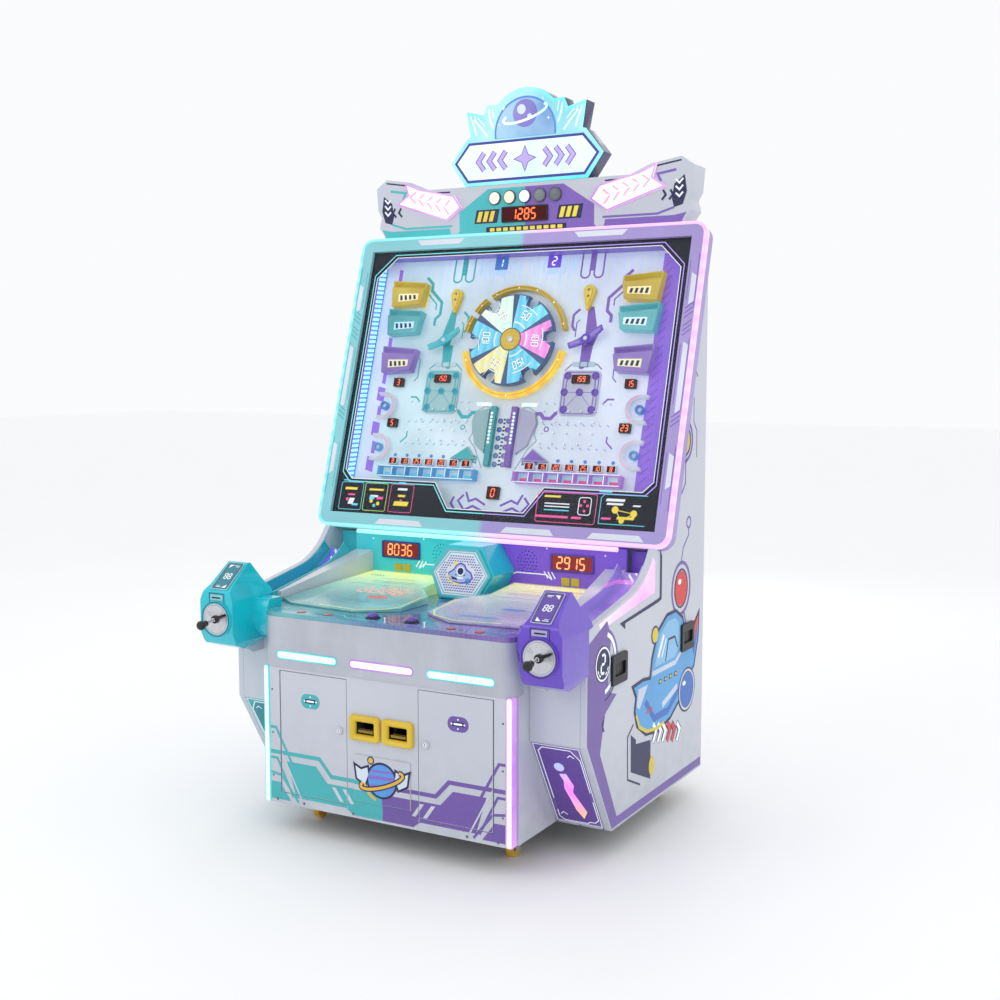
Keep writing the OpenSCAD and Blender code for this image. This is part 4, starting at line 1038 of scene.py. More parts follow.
lampBoard = {"x": 275, "s": 520, "w": 142, "h": 158, "rings": [(-52, 60), (52, 60), (-58, 2), (0, 2), (58, 2),
    (-52, -58), (52, -58)]}
onLamps = onSlope @ Matrix.Translation((lampBoard["x"], lampBoard["s"], 0))


paleTeal = moulded("lampBoardTeal", (0.36, 0.62, 0.66), 0.3, 0.3)
paleViolet = moulded("lampBoardViolet", (0.56, 0.58, 0.74), 0.3, 0.3)


@drawnPair(onLamps, paleTeal, paleViolet, slot="guide_mix", bevel=0.8)
def lampPlate():
    panel([roundedRect(0, 0, lampBoard["w"], lampBoard["h"], 18)]
        + [circlePoints(x, y, 10.5, 20) for x, y in lampBoard["rings"]], guides["back"], -56)


@drawnPair(onLamps, tealInk, violetInk, slot="board_print")
def lampPlateLines():
    stroke(roundedRect(0, 0, lampBoard["w"] - 12, lampBoard["h"] - 12, 14), 3.4, -56.1, -55.4, True)
    r = lampBoard["rings"]
    for a, b in ((0, 5), (1, 6), (2, 3), (3, 4), (3, 5), (3, 6), (0, 2), (1, 4), (2, 5), (4, 6)):
        pa, pb = Vector(r[a]), Vector(r[b])
        along = (pb - pa).normalized() * 13
        stroke([tuple(pa + along), tuple(pb - along)], 2, -56.1, -55.6)


@drawnPair(onLamps, tealShell, purpleShell, slot="guide_mix")
def lampRings():
    for x, y in lampBoard["rings"]:
        lathe([(13, -56.5), (13, -53.4), (11.5, -52.4), (9, -52.6), (8.4, -55)], (x, y), 28)


@drawnPair(onLamps, inkOf("lensTeal", (0.02, 0.24, 0.32), 0.3), inkOf("lensViolet", (0.12, 0.06, 0.34), 0.3),
    slot="guide_mix")
def lampLenses():
    for x, y in lampBoard["rings"]:
        lathe([(8.4, -57), (8.4, -54.2), (5.5, -52.8), (2, -52.4)], (x, y), 24)


pairOf("lampWindows", lambda: [slab(roundedRect(x, 102, 26, 16, 3), boardOut + 0.2, -58) for x in (-30, 0, 30)],
    onLamps, mistInk, mistInk, slot="guide_mix", bevel=0.5)

# lamp columns in the middle with their dots
column = {"x": 41, "low": 252, "high": 466, "w": 22, "front": -42}


@drawnPair(onSlope, moulded("columnTeal", (0.02, 0.36, 0.4), 0.3, 0.3),
    moulded("columnViolet", (0.2, 0.09, 0.46), 0.3, 0.3), slot="guide_mix", bevel=1.5)
def lampColumn():
    slab([(30, 252), (52, 252), (52, 466), (30, 466)], guides["back"], column["front"])


@drawn(onSlope, whiteGlow, slot="light_white", both=True)
def columnDots():
    for k in range(9):
        lathe([(5.2, -43), (5.2, -41.2), (3, -40.2)], (44, 336 + k * 13), 18)


@drawn(onSlope, darkMetal, slot="steel", both=True)
def columnBezels():
    for k in range(6):
        lathe([(9, boardOut), (9, boardOut + 3), (7.2, boardOut + 4), (6.2, boardOut + 2)], (16, 262 + k * 31), 26)


@drawnPair(onSlope, lit("lampBlue", (0.02, 0.1, 0.55), (0.25, 0.55, 1), 0.6),
    lit("lampViolet", (0.14, 0.03, 0.6), (0.62, 0.42, 1), 0.6), slot="light_white")
def columnLenses():
    for k in range(6):
        lathe([(6.2, boardOut), (6.2, boardOut + 2.4), (3, boardOut + 3.4)], (16, 262 + k * 31), 22)


@drawn(onSlope, navyInk, slot="board_print")
def columnMarks():
    for k in range(13):
        slab(roundedRect(0, 262 + k * 13.4, 9, 6, 1.4), printLow, printHigh)


@drawnPair(onSlope, moulded("shieldTeal", (0.3, 0.52, 0.55), 0.32, 0.3),
    moulded("shieldViolet", (0.44, 0.44, 0.62), 0.32, 0.3), slot="guide_mix", bevel=1.2)
def shieldPlates():
    slab([(62, 460), (118, 448), (128, 410), (104, 330), (62, 300)], guides["back"], -52)
    slab([(92, 276), (196, 276), (128, 322)], guides["back"], -52)


@drawn(onSlope, whiteGlow, slot="light_white", bevel=0.8, both=True)
def shieldTopLights():
    slab([(58, 470), (118, 470), (122, 482), (62, 482)], boardOut, -56)


pairOf("shieldArrows", lambda: slab([(98, 279), (188, 279), (130, 316)], -52.1, -51.5), onSlope, tealInk, violetInk,
    slot="board_print")


@drawn(onSlope, brushedSteel, slot="steel", both=True, hides=("field_guides",))
def armPins():
    lathe([(4.9, -61), (4.9, -26)], (282, 705), 20)


print("wheel and guides made")
# swinging arms: a hub and tapered blades with a groove
arm = {"half": 68, "rest": 24, "back": -38, "front": -28}


def armBlade():
    h = arm["half"]
    outline = [(-h, -9), (-50, -12.6), (-30, -14), (0, -15), (16, -13), (30, -9), (50, -3), (h, 4), (h, 24), (50, 20),
        (30, 14), (0, 15), (-30, 10), (-50, 11), (-h, 12)]
    slab(outline, arm["back"], arm["front"] - 1.6)
    lathe([(17, arm["back"]), (17, arm["front"] - 0.8), (15.5, arm["front"])], count=36)


def armRidge():
    slab([(20, -6), (60, 5), (60, 16), (20, 8)], arm["front"] - 1.8, arm["front"] - 0.4)
    slab([(-20, 6), (-60, 8), (-60, -4), (-20, -8)], arm["front"] - 1.8, arm["front"] - 0.4)


def armCap():
    f = arm["front"]
    lathe([(8, f - 1), (8, f + 0.8), (6, f + 1.8), (2.4, f + 1.8), (2.2, f + 0.9)], count=28)


tilt = Matrix.Rotation(radians(arm["rest"]), 4, "Z")
for side, x, material, ridge, node in (("Right", 282, purpleShell,
        moulded("armRidgeViolet", (0.26, 0.17, 0.66), 0.2, 0.6), "arm_right"),
        ("Left", -282, tealShell, moulded("armRidgeTeal", (0.05, 0.5, 0.58), 0.2, 0.6), "arm_left")):
    place = onSlope @ Matrix.Translation((x, 705, 0)) @ tilt
    piece("swingArm" + side, armBlade, place, material, bodyOf[node], slotOf[node], 1.4, 3, hides=(node,))
    piece("swingArmRidge" + side, armRidge, place, ridge, bodyOf[node], slotOf[node], 1)
    piece("swingArmCap" + side, armCap, place, brushedSteel, bodyOf[node], "steel", 0.2)

# red number windows on the board
windows = {"big": (66, 30, -48), "small": (40, 32, -48), "column": (46, 44, -48), "row": (36, 26, -50)}
bigSpots = [(-275, 567, "150"), (275, 567, "159")]
smallSpots = [(-460, 552, "3"), (-460, 400, "5"), (460, 552, "15"), (460, 400, "23")]
rowText = ("9", "15", "20", "30", "25", "10", "8")


def windowShells(w, h, front, spots):
    for x, y in spots:
        ringSlab(roundedRect(x, y, w, h, 2.5), roundedRect(x, y, w - 5, h - 5, 1.5), boardOut, front)


def windowPlates(w, h, front, spots):
    for x, y in spots:
        slab(roundedRect(x, y, w - 4.6, h - 4.6, 1.6), boardOut, front - 1.2)


sets = {"Big": (*windows["big"], [(x, y) for x, y, t in bigSpots]),
    "Small": (*windows["small"], [(x, y) for x, y, t in smallSpots]), "Column": (*windows["column"], [(0, 160)]),
    "Row": (*windows["row"], [(side * (125 + 51 * i), 259) for side in (-1, 1) for i in range(7)])}
for name, (w, h, front, spots) in sets.items():
    hides = ("board_displays",) if name == "Big" else ()
    piece("numberFrame" + name, lambda: windowShells(w, h, front, spots), onSlope,
        whitePlastic if name == "Row" else blackPlastic, slot="black_plastic", bevel=0.6, hides=hides)
    piece("numberFilter" + name, lambda: windowPlates(w, h, front, spots), onSlope, ledBack, slot="led_red")


@drawn(onSlope, ledRed, slot="led_red")
def boardDigits():
    f = -49.3
    for x, y, t in bigSpots:
        drawDigits(t, x, y, 18, f, f + 0.5, 2.6)
    for x, y, t in smallSpots:
        drawDigits(t, x, y, 20, f, f + 0.5, 2.8)
    drawDigits("0", 0, 160, 28, f, f + 0.5, 3.6)
    for i in range(7):
        drawDigits(rowText[i], 125 + 51 * i, 259, 15, f - 2, f - 1.5, 2.3)
        drawDigits(rowText[i], -(125 + 51 * i), 259, 15, f - 2, f - 1.5, 2.3)


# side pockets: moulded cups with an open mouth and a lit label
pocketCup = {"x": 466, "rows": (880, 772, 628), "outline": [(-74, 44), (-60, -38), (60, -46), (72, 56)]}


def cup(y):
    shape = [(x, s + y) for x, s in pocketCup["outline"]]
    inner = offsetPath(shape, 4.5, True)
    slab(shape, boardOut, -57)
    ringSlab(shape, inner, -57.1, -29)
    low = [shape[0], shape[1], shape[2], shape[3]]
    front = [(low[0][0] + 1, low[0][1] - 24), low[1], low[2], (low[3][0] - 1, low[3][1] - 26)]
    slab(front, -29, -24)


def cupLabel(y):
    slab([(-50, y - 22), (34, y - 28), (36, y + 2), (-50, y + 2)], -24.1, -22.9)


def cupMarks(y):
    for k in range(4):
        slab([(-42 + k * 19, y - 20 - k * 1), (-32 + k * 19, y - 20.6 - k), (-28 + k * 19, y - 4),
            (-38 + k * 19, y - 4)], -22.9, -22.5)


cupFinish = [lit("cupYellow", (0.75, 0.5, 0.01), (1, 0.8, 0.1), 0.35),
    lit("cupTeal", (0.05, 0.5, 0.58), (0.25, 0.85, 0.92), 0.35),
    lit("cupPurple", (0.28, 0.16, 0.66), (0.5, 0.36, 0.95), 0.35)]
labelFinish = [lit("labelYellow", (0.9, 0.75, 0.3), (1, 0.95, 0.65), 0.8),
    lit("labelBlue", (0.35, 0.75, 1), (0.85, 1, 1), 0.8), lit("labelWarm", (0.85, 0.8, 0.45), (1, 1, 0.78), 0.7)]
for row, y in enumerate(pocketCup["rows"]):
    onCup = onSlope @ Matrix.Translation((pocketCup["x"], 0, 0))
    piece("sidePocket%d" % row, lambda: cup(y), onCup, cupFinish[row], slot="yellow_plastic", bevel=1.2, segments=3,
        both=True, hides=("side_pockets",) if row == 0 else ())
    piece("pocketLabel%d" % row, lambda: cupLabel(y), onCup, labelFinish[row], slot="yellow_plastic", bevel=0.5,
        both=True)
    piece("pocketMarks%d" % row, lambda: cupMarks(y), onCup, navyInk, slot="board_print", both=True)

# round bumpers with an open side towards the middle, and the field of pins
bumperSpots = [(505, 463), (505, 308)]


@drawn(onSlope, lit("bumperWhite", (0.62, 0.68, 0.9), (0.86, 0.92, 1), 0.45), slot="bumper_white", bevel=1.6,
    segments=3, both=True, hides=("bumpers",))
def bumperArc():
    for x, y in bumperSpots:
        points = arcPoints(x, y, 50, 95, 265, 30) + arcPoints(x, y, 37, 265, 95, 30)
        slab(points, boardOut, -42)
        slab([(x - 4, y + 37), (x + 24, y + 37), (x + 30, y + 50), (x - 4, y + 50)], boardOut, -44)
        slab([(x - 4, y - 50), (x + 30, y - 50), (x + 24, y - 37), (x - 4, y - 37)], boardOut, -44)


@drawn(onSlope, lit("bumperPink", (0.85, 0.1, 0.4), (1, 0.35, 0.65), 0.7), slot="bumper_white", both=True)
def bumperEdge():
    for x, y in bumperSpots:
        stroke(arcPoints(x, y, 43.5, 100, 260, 30), 2.2, -42.2, -41.2)


@drawn(onSlope, lit("bumperBlue", (0.05, 0.2, 0.75), (0.2, 0.5, 1), 0.4), slot="bumper_white", both=True)
def bumperRing():
    for x, y in bumperSpots:
        lathe([(16, boardOut), (16, -45), (14.5, -43), (10.5, -43), (9, -45), (9, boardOut)], (x, y), 32)


@drawn(onSlope, whitePlastic, slot="bumper_white", both=True)
def bumperCap():
    for x, y in bumperSpots:
        lathe([(9, boardOut), (9, -52), (4, -50.5)], (x, y), 24)


@drawn(onSlope, polishedChrome, slot="steel", both=True)
def fieldPins():
    for row in range(4):
        for i in range(5):
            lathe([(2.5, boardOut), (2.5, -49.5), (1.6, -48.2)], (150 + 48 * i, 340 + 38 * row), 12)


# pocket rows at the foot of the field
rowPlan = {"x": 277, "y": 218, "w": 402, "h": 40, "cells": 7, "pitch": 56, "cellW": 48, "cellH": 32, "front": -32}


@drawnPair(onSlope, lit("rowBlue", (0.02, 0.22, 0.62), (0.1, 0.48, 0.95), 0.45),
    lit("rowPurple", (0.26, 0.1, 0.6), (0.62, 0.26, 0.9), 0.45), slot="pocket_blue", bevel=0.8)
def pocketRow():
    p = rowPlan
    holes = [roundedRect(p["x"] + (k - 3) * p["pitch"], p["y"], p["cellW"], p["cellH"], 3) for k in range(p["cells"])]
    panel([roundedRect(p["x"], p["y"], p["w"], p["h"], 4)] + holes, boardOut, p["front"])


@drawn(onSlope, lit("rowBackGlow", (0.2, 0.55, 0.85), (0.7, 0.92, 1), 0.5), slot="pocket_blue", both=True,
    hides=("pocket_rows",))
def rowBacks():
    p = rowPlan
    for k in range(p["cells"]):
        slab(roundedRect(p["x"] + (k - 3) * p["pitch"], p["y"], p["cellW"] + 2, p["cellH"] + 2, 2), boardOut + 0.2,
            -59)


@drawnPair(onSlope, cyanInk, pinkInk, slot="pocket_blue")
def rowPlates():
    p = rowPlan
    for k in range(p["cells"]):
        x = p["x"] + (k - 3) * p["pitch"]
        slab(roundedRect(x, p["y"] - 7, 34, 13, 2), -59.1, -58.4)


@drawn(onSlope, whiteGlow, slot="light_white", both=True)
def rowEdges():
    for k in range(6):
        slab(roundedRect(rowPlan["x"] + (k - 2.5) * rowPlan["pitch"], rowPlan["y"], 3, 30, 1), rowPlan["front"] - 0.3,
            rowPlan["front"] + 0.3)
    slab(roundedRect(277, 199.6, 396, 2.4, 1), rowPlan["front"] - 0.3, rowPlan["front"] + 0.4)
    slab(roundedRect(277, 236.4, 396, 2.4, 1), rowPlan["front"] - 0.3, rowPlan["front"] + 0.4)


piece("rowTags", lambda: [lathe([(6.2, boardOut), (6.2, boardOut + 1.6), (5.2, boardOut + 2)], (125 + 51 * i, 283),
    18) for i in range(7)], onSlope, inkOf("rowTagBlue", (0.1, 0.22, 0.6), 0.2), slot="board_print", both=True)
print("pockets made")
# lower front: box, service doors, ticket slots, printed bands, light bars
front = {"face": boxFront, "doorIn": 132, "doorOut": 387, "doorLow": 130, "doorHigh": 524, "low": 92, "edge": 429,
    "plateFace": -476.8}
softened("frontBox", "front_box", cabinetWhite, 1.2)
softened("doorLeft", "door_left", cabinetWhite, 0.9)
softened("doorRight", "door_right", cabinetWhite, 0.9)
softened("lowerPlate", "lower_plate", cabinetWhite, 0.6)
softened("apronPanel", "apron", apronWhite, 6, 4)


def clipped(points, x0, x1, y0, y1):
    # the part of a shape inside an upright rectangle
    for axis, limit, sign in ((0, x0, 1), (0, x1, -1), (1, y0, 1), (1, y1, -1)):
        kept = []
        for i, here in enumerate(points):
            back = points[i - 1]
            a, b = sign * (back[axis] - limit), sign * (here[axis] - limit)
            if (a < 0) != (b < 0):
                t = a / (a - b)
                kept.append((back[0] + (here[0] - back[0]) * t, back[1] + (here[1] - back[1]) * t))
            if b >= 0:
                kept.append(here)
        points = kept
        if not points:
            return []
    return points


def ribbon(points, width):
    return offsetPath(points, -width / 2, False) + offsetPath(points, width / 2, False)[::-1]


bandShapes = [ribbon([(430, 338), (408, 338), (284, 118)], 9), ribbon([(430, 258), (238, 258), (192, 208), (0, 208)],
    13), [(330, 118), (366, 232), (252, 232), (208, 184), (0, 184), (0, 100), (110, 100), (138, 118)],
    ribbon([(430, 238), (404, 238), (342, 118)], 8), ribbon([(430, 190), (388, 184), (322, 104)], 8),
    [(352, 104), (394, 160), (430, 160), (430, 104)]]
gapShapes = [[(146, 134), (160, 134), (190, 176), (176, 176)], [(106, 134), (120, 134), (150, 176), (136, 176)],
    ribbon([(388, 258), (372, 232), (310, 118)], 5)]
regions = {"Box": [(front["doorOut"] + 2.8, front["edge"], 94, 534),
    (front["doorIn"] + 1, front["doorOut"] + 2.8, 94, front["doorLow"] - 1), (0, front["doorIn"] - 1.5, 94, 149),
    (104.5, front["doorIn"] - 1.5, 149, 300)], "Door": [(front["doorIn"] + 1.5, front["doorOut"] - 1.5,
    front["doorLow"] + 1.5, front["doorHigh"] - 1.5)], "Plate": [(0, 102, 151, 295)]}


def drawBands(shapes, spots, d0, d1):
    for k, shape in enumerate(shapes):
        for spot in spots:
            part = clipped(shape, *spot)
            if len(part) > 2:
                slab(part, d0, d1 + k * 0.03)


onFace = onFront(front["face"])
onPlate = onFront(front["plateFace"])
bandPaint = {"Left": inkOf("bandTeal", (0.06, 0.47, 0.5)), "Right": inkOf("bandPurple", (0.17, 0.095, 0.4))}
gapPaint = inkOf("bandWhite", (0.64, 0.67, 0.74))
for side, sign, door in (("Left", True, "door_left"), ("Right", False, "door_right")):
    for region, spots in regions.items():
        place = onPlate if region == "Plate" else onFace
        body = bodyOf[door] if region == "Door" else "cabinet"
        piece("band%s%s" % (region, side), lambda: drawBands(bandShapes, spots, -0.1, 0.35), place, bandPaint[side],
            body, flip=sign)
        if region != "Plate":
            piece("bandGap%s%s" % (region, side), lambda: drawBands(gapShapes, spots, 0.2, 0.6), place, gapPaint,
                body, flip=sign)


# the label over each lock and the marks printed in it
def doorOval():
    slab(roundedRect(270, 438, 72, 46, 22, 8), 0, 0.4)


def doorOvalMarks():
    for x, y, w, h in ((270, 438, 30, 6), (248, 438, 6, 6), (292, 438, 6, 6), (270, 452, 5, 5), (270, 424, 5, 5)):
        slab(roundedRect(x, y, w, h, min(w, h) / 2 - 0.1, 4), 0.4, 0.7)


def doorOvalDark():
    slab(roundedRect(270, 438, 46, 14, 6.5, 5), 0.3, 0.55)


for side, flip, door in (("Left", True, "door_left"), ("Right", False, "door_right")):
    body = bodyOf[door]
    piece("doorOval" + side, doorOval, onFace, bandPaint[side], body, flip=flip)
    piece("doorOvalDark" + side, doorOvalDark, onFace, navyInk, body, flip=flip)
    piece("doorOvalMarks" + side, doorOvalMarks, onFace, paleInk, body, flip=flip)


# cam locks, with a keyway, and the small screws along the foot of the box
def lockBody():
    lathe([(12.5, -1), (12.5, 1.6), (11, 2.8), (8.2, 3.2), (8, 2.4), (7.6, 2.4), (7.4, 6.2), (6.4, 7.4), (1, 7.4)],
        (158, 361), 40)


def lockKeyway():
    slab(roundedRect(158, 361, 1.6, 8.5, 0.7, 3), 7.3, 7.7)


for side, flip, door in (("Left", True, "door_left"), ("Right", False, "door_right")):
    piece("doorLock" + side, lockBody, onFace, polishedChrome, bodyOf[door], "chrome", 0.2, flip=flip)
    piece("doorKeyway" + side, lockKeyway, onFace, blackPlastic, bodyOf[door], "black_plastic", flip=flip)


@drawn(onFace, darkMetal, slot="steel", both=True)
def boxScrews():
    for x in (110, 300, 405):
        lathe([(4.2, -0.5), (4.2, 0.7), (3, 1.6), (1, 1.7)], (x, 104), 18)
    for z in (180, 320, 460):
        lathe([(3.2, -0.5), (3.2, 0.7), (2.2, 1.4)], (421, z), 16)


# ticket slots: thick moulded frames round a deep mouth
bezel = {"x": 60, "z": 381, "w": 112, "h": 80, "holeW": 66, "holeH": 38, "front": 14}


@drawn(onFace, yellowPlastic, slot="yellow_plastic", bevel=0.8, segments=3, both=True, hides=("ticket_bezels",),
    smooth=50)
def ticketBezels():
    b = bezel
    shape = lambda grow, r: roundedRect(b["x"], b["z"], b["w"] - grow, b["h"] - grow, r, 6)
    hole = lambda grow: roundedRect(b["x"], b["z"] - 1, b["holeW"] + grow, b["holeH"] + grow, 3 + grow / 4, 6)
    levels = [(shape(0, 12), 0), (shape(0, 12), 8), (shape(8, 10), 13.4), (shape(22, 7), 13.9), (hole(12), 11.4),
        (hole(4), 8), (hole(0), 1)]
    rings = [[pen.verts.new((x, y, d)) for x, y in pts] for pts, d in levels]
    for a, c in zip(rings, rings[1:]):
        for i in range(len(a)):
            j = (i + 1) % len(a)
            pen.faces.new((a[i], a[j], c[j], c[i]))


@drawn(onFace, moulded("ticketTongue", (0.3, 0.2, 0.02), 0.4), slot="yellow_plastic", bevel=0.6, both=True)
def ticketTongues():
    slab([(33, 366), (87, 366), (87, 374), (33, 374)], -18, 2)
    for k in range(5):
        slab(roundedRect(42 + k * 9, 371, 3, 6, 1, 3), 1.9, 2.5)


# emblem on the lower plate: a ringed planet between two leaves
emblem = {"x": 0, "z": 226, "r": 50}


def emblemDisc(grow, d0, d1):
    slab(circlePoints(emblem["x"], emblem["z"], emblem["r"] + grow, 48), d0, d1)


def leafShape(points, grow):
    return offsetPath(points, grow, True)


leaves = [[(62, 206), (92, 222), (98, 262), (76, 252), (52, 262), (48, 238)],
    [(-62, 206), (-48, 238), (-52, 262), (-76, 252), (-98, 262), (-92, 222)]]


def emblemRing(width, d0, d1):
    pts = [(emblem["x"] + 82 * cos(a) * 0.94 - 20 * sin(a) * 0.34,
        emblem["z"] + 82 * cos(a) * 0.34 + 20 * sin(a) * 0.94) for a in [radians(d) for d in range(150, 391, 8)]]
    stroke(pts, width, d0, d1)


skyInk = inkOf("emblemSky", (0.1, 0.34, 0.8), 0, 0.25)


@drawn(onPlate, navyInk)
def emblemNavy():
    emblemDisc(7, 0, 0.5)
    for leaf in leaves:
        slab(leafShape(leaf, -6), 0, 0.4)
    slab(circlePoints(-40, 284, 13, 20), 0, 0.45)
    emblemRing(17, 0.9, 1.2)


piece("emblemPlanet", lambda: emblemDisc(0, 0.4, 0.75), onPlate, skyInk)


@drawn(onPlate, inkOf("emblemViolet", (0.25, 0.16, 0.62), 0, 0.25))
def emblemBands():
    for z0, h in ((252, 8), (232, 12), (206, 9)):
        half = sqrt(emblem["r"] ** 2 - (z0 - emblem["z"]) ** 2) - 2
        slab([(-half, z0 - h / 2), (half, z0 - h / 2 + 5), (half - 1, z0 + h / 2 + 4), (-half, z0 + h / 2)], 0.65,
            0.9)


piece("emblemLeaves", lambda: [slab(leafShape(leaf, 1), 0.3, 0.7) for leaf in leaves], onPlate,
    inkOf("emblemPale", (0.7, 0.8, 0.9)))
piece("emblemRing", lambda: (emblemRing(9, 1.1, 1.45), slab(circlePoints(-40, 284, 9, 20), 0.4, 0.8),
    stroke(arcPoints(0, 226, 66, 195, 250, 12), 8, 0.5, 0.85)), onPlate, inkOf("emblemGold", (0.82, 0.5, 0.05)))

# light bars: the three in the apron, and the two corner bars with a strong edge colour
bars = {"x": (-280, 0, 280), "z": 577, "w": 234, "h": 28}


def barLens(x):
    pts = roundedRect(x, bars["z"], bars["w"] - 7, bars["h"] - 7, 10, 6)
    slab(pts, 0, 3.8)


def barEdge(x):
    ringSlab(roundedRect(x, bars["z"], bars["w"], bars["h"], 13.5, 6),
        roundedRect(x, bars["z"], bars["w"] - 8, bars["h"] - 8, 9.5, 6), 0, 4.4)


onBars = onFront(-474.3)
edgeCyan = lit("barEdgeCyan", (0.04, 0.62, 0.7), (0.18, 0.9, 0.95), 0.7)
edgePurple = lit("barEdgePurple", (0.42, 0.12, 0.8), (0.72, 0.35, 1), 0.7)
lensCool = lit("barLensCool", (0.6, 0.96, 0.96), (0.97, 1, 1), 0.9, 0.5, 0.016)
lensWarm = lit("barLensWarm", (0.96, 0.86, 0.96), (1, 0.98, 0.94), 0.9, 0.5, 0.016)
for k, x in enumerate(bars["x"]):
    piece("apronBar%d" % k, lambda: barLens(x), onBars, lensWarm if k == 1 else lensCool, slot="light_white",
        bevel=1.2, segments=3, hides=("light_bars",) if k == 0 else ())
    piece("apronBarEdge%d" % k, lambda: barEdge(x), onBars, edgePurple if k == 1 else edgeCyan, slot="light_white",
        bevel=0.8)


@drawnPair(onFace, lit("cornerCool", (0.62, 0.97, 0.95), (0.97, 1, 0.98), 0.95, 0.4, 0.03, "z"),
    lit("cornerWarm", (1, 0.84, 0.98), (1, 0.97, 1), 0.95, 0.4, 0.03, "z"), slot="light_white", bevel=1.5, segments=3)
def cornerBar():
    slab(roundedRect(442.5, 314, 15, 443, 7, 6), -20, 3.6)


@drawnPair(onFace, edgeCyan, lit("barEdgePink", (0.52, 0.18, 0.85), (0.86, 0.45, 1), 0.75), slot="light_white",
    bevel=1.5, segments=3)
def cornerBarEdge():
    slab(roundedRect(442, 314, 23.6, 443.8, 6, 6), -23, 1.8)


onTube = Matrix.Translation((0, 0.125, 0.8983)) @ Matrix.Scale(mm, 4)


@drawn(onTube, splitLit("tubeGlow", ((0.35, 0.95, 0.98), (0.8, 1, 1)), ((1, 0.6, 0.98), (1, 0.88, 1)), 0.95),
    slot="light_white")
def underFrameTube():
    tube([(-508 + k * 101.6, 0, 0) for k in range(11)], 7.8, 18)


print("lower front made")
# console: deck print, the two lit tables, buttons, red windows and posts
console = {"backY": 147, "trayFront": -380, "trayLow": lipZ + 4, "rise": 46, "buttonX": 71, "buttonY": -413,
    "lean": 12, "scoreX": 336, "scoreZ": lipZ + 126}


def makeDeckPaint():
    # gloss print going from teal through blue to purple, white above the deck where the casings stand
    p = Paint("deckPrint")
    side = p.x.ramp(-0.32, 0.32)
    cloud = p.noise(7, 5).ramp(0.3, 0.7)
    left = p.mix(cloud, (0.05, 0.3, 0.34), (0.16, 0.48, 0.52))
    middle = p.mix(cloud, (0.05, 0.12, 0.3), (0.12, 0.24, 0.46))
    right = p.mix(cloud, (0.13, 0.07, 0.3), (0.26, 0.17, 0.5))
    base = p.mix(side.ramp(0.5, 1), p.mix(side.ramp(0, 0.5), left, middle), right)
    grid = ((p.x * 60 + p.y * 24) % 1 < 0.08).most((p.y * 50) % 1 < 0.05)
    base = p.mix(grid * 0.14, base, (0.55, 0.75, 0.85))
    white = p.mix(p.noise(3, 4).ramp(0.3, 0.7), (0.62, 0.65, 0.7), (0.56, 0.59, 0.65))
    base = p.mix(p.z.ramp(lipZ * mm + 0.0008, lipZ * mm + 0.0016), base, white)
    return p.surface(base, (0.14 + cloud * 0.1), coat=0.5, normal=p.bump(p.noise(500, 2), 0.05, 0.0003))


softened("consoleDeck", "console_deck", makeDeckPaint(), 1.6, 3)


def makeTrayPaint():
    # lit tables: yellow-green at the back to teal on the left, yellow to lilac on the right, with fine printed lines
    p = Paint("tablePrint")
    back = p.y.ramp(-0.36, 0.13)
    cloud = p.noise(11, 5).ramp(0.3, 0.7)
    left = p.mix(back.ramp(0.25, 0.62), p.mix(cloud, (0.1, 0.36, 0.38), (0.2, 0.5, 0.5)), (0.4, 0.72, 0.55))
    left = p.mix(back.ramp(0.62, 0.95), left, (0.88, 0.92, 0.22))
    right = p.mix(back.ramp(0.15, 0.55), p.mix(cloud, (0.25, 0.2, 0.48), (0.42, 0.38, 0.6)), (0.62, 0.62, 0.62))
    right = p.mix(back.ramp(0.6, 0.9), right, (0.95, 0.82, 0.34))
    base = p.mix(p.x > 0, left, right)
    cell = p.cells(34, (1, 0.5, 1))
    lines = cell.ramp(0.02, 0.1, 1, 0)
    base = p.mix(lines * 0.25, base, (0.85, 0.95, 0.9))
    glow = p.mix(back.ramp(0.35, 1), (0, 0, 0), base)
    return p.surface(base, (0.16 + cloud * 0.12), coat=0.5, normal=p.bump(cell, 0.08, 0.0004), glow=glow, power=0.6)


softened("tables", "table_trays", makeTrayPaint(), 1.2, 2)
onTray = placeMatrix((0, console["trayFront"] * mm, console["trayLow"] * mm), (1, 0, 0), (0, 527, console["rise"]))
coverPaint = clearSheet("tableCover", (0.8, 0.95, 0.96), 0.12, 0.04)
softened("tableCovers", "table_covers", coverPaint, 0.9, 2)


trayYellow = lit("trayYellow", (0.8, 0.75, 0.1), (1, 0.95, 0.3), 0.55)


@drawnPair(onTray, trayYellow, trayYellow, slot="tray_print")
def tableLines():
    stroke([(152, 505), (392, 505), (410, 486)], 8, 0.02, 0.2)
    slab(roundedRect(268, 420, 130, 12, 5), 0.02, 0.2)
    stroke([(62, 248), (62, 110), (92, 62), (182, 30), (336, 46)], 6, 0.02, 0.2)


@drawnPair(onTray, inkOf("trayTeal", (0.02, 0.34, 0.34), 0.05), inkOf("trayMagenta", (0.62, 0.12, 0.4), 0.1),
    slot="tray_print")
def tableThin():
    for v, x0, x1 in ((382, 170, 330), (366, 186, 300), (330, 150, 400), (128, 210, 400), (96, 230, 372)):
        stroke([(x0, v), (x1, v), (x1 + 14, v - 14)], 3, 0.02, 0.2)
    for k in range(5):
        stroke([(356 + k * 12, 440), (366 + k * 12, 462)], 4, 0.02, 0.2)


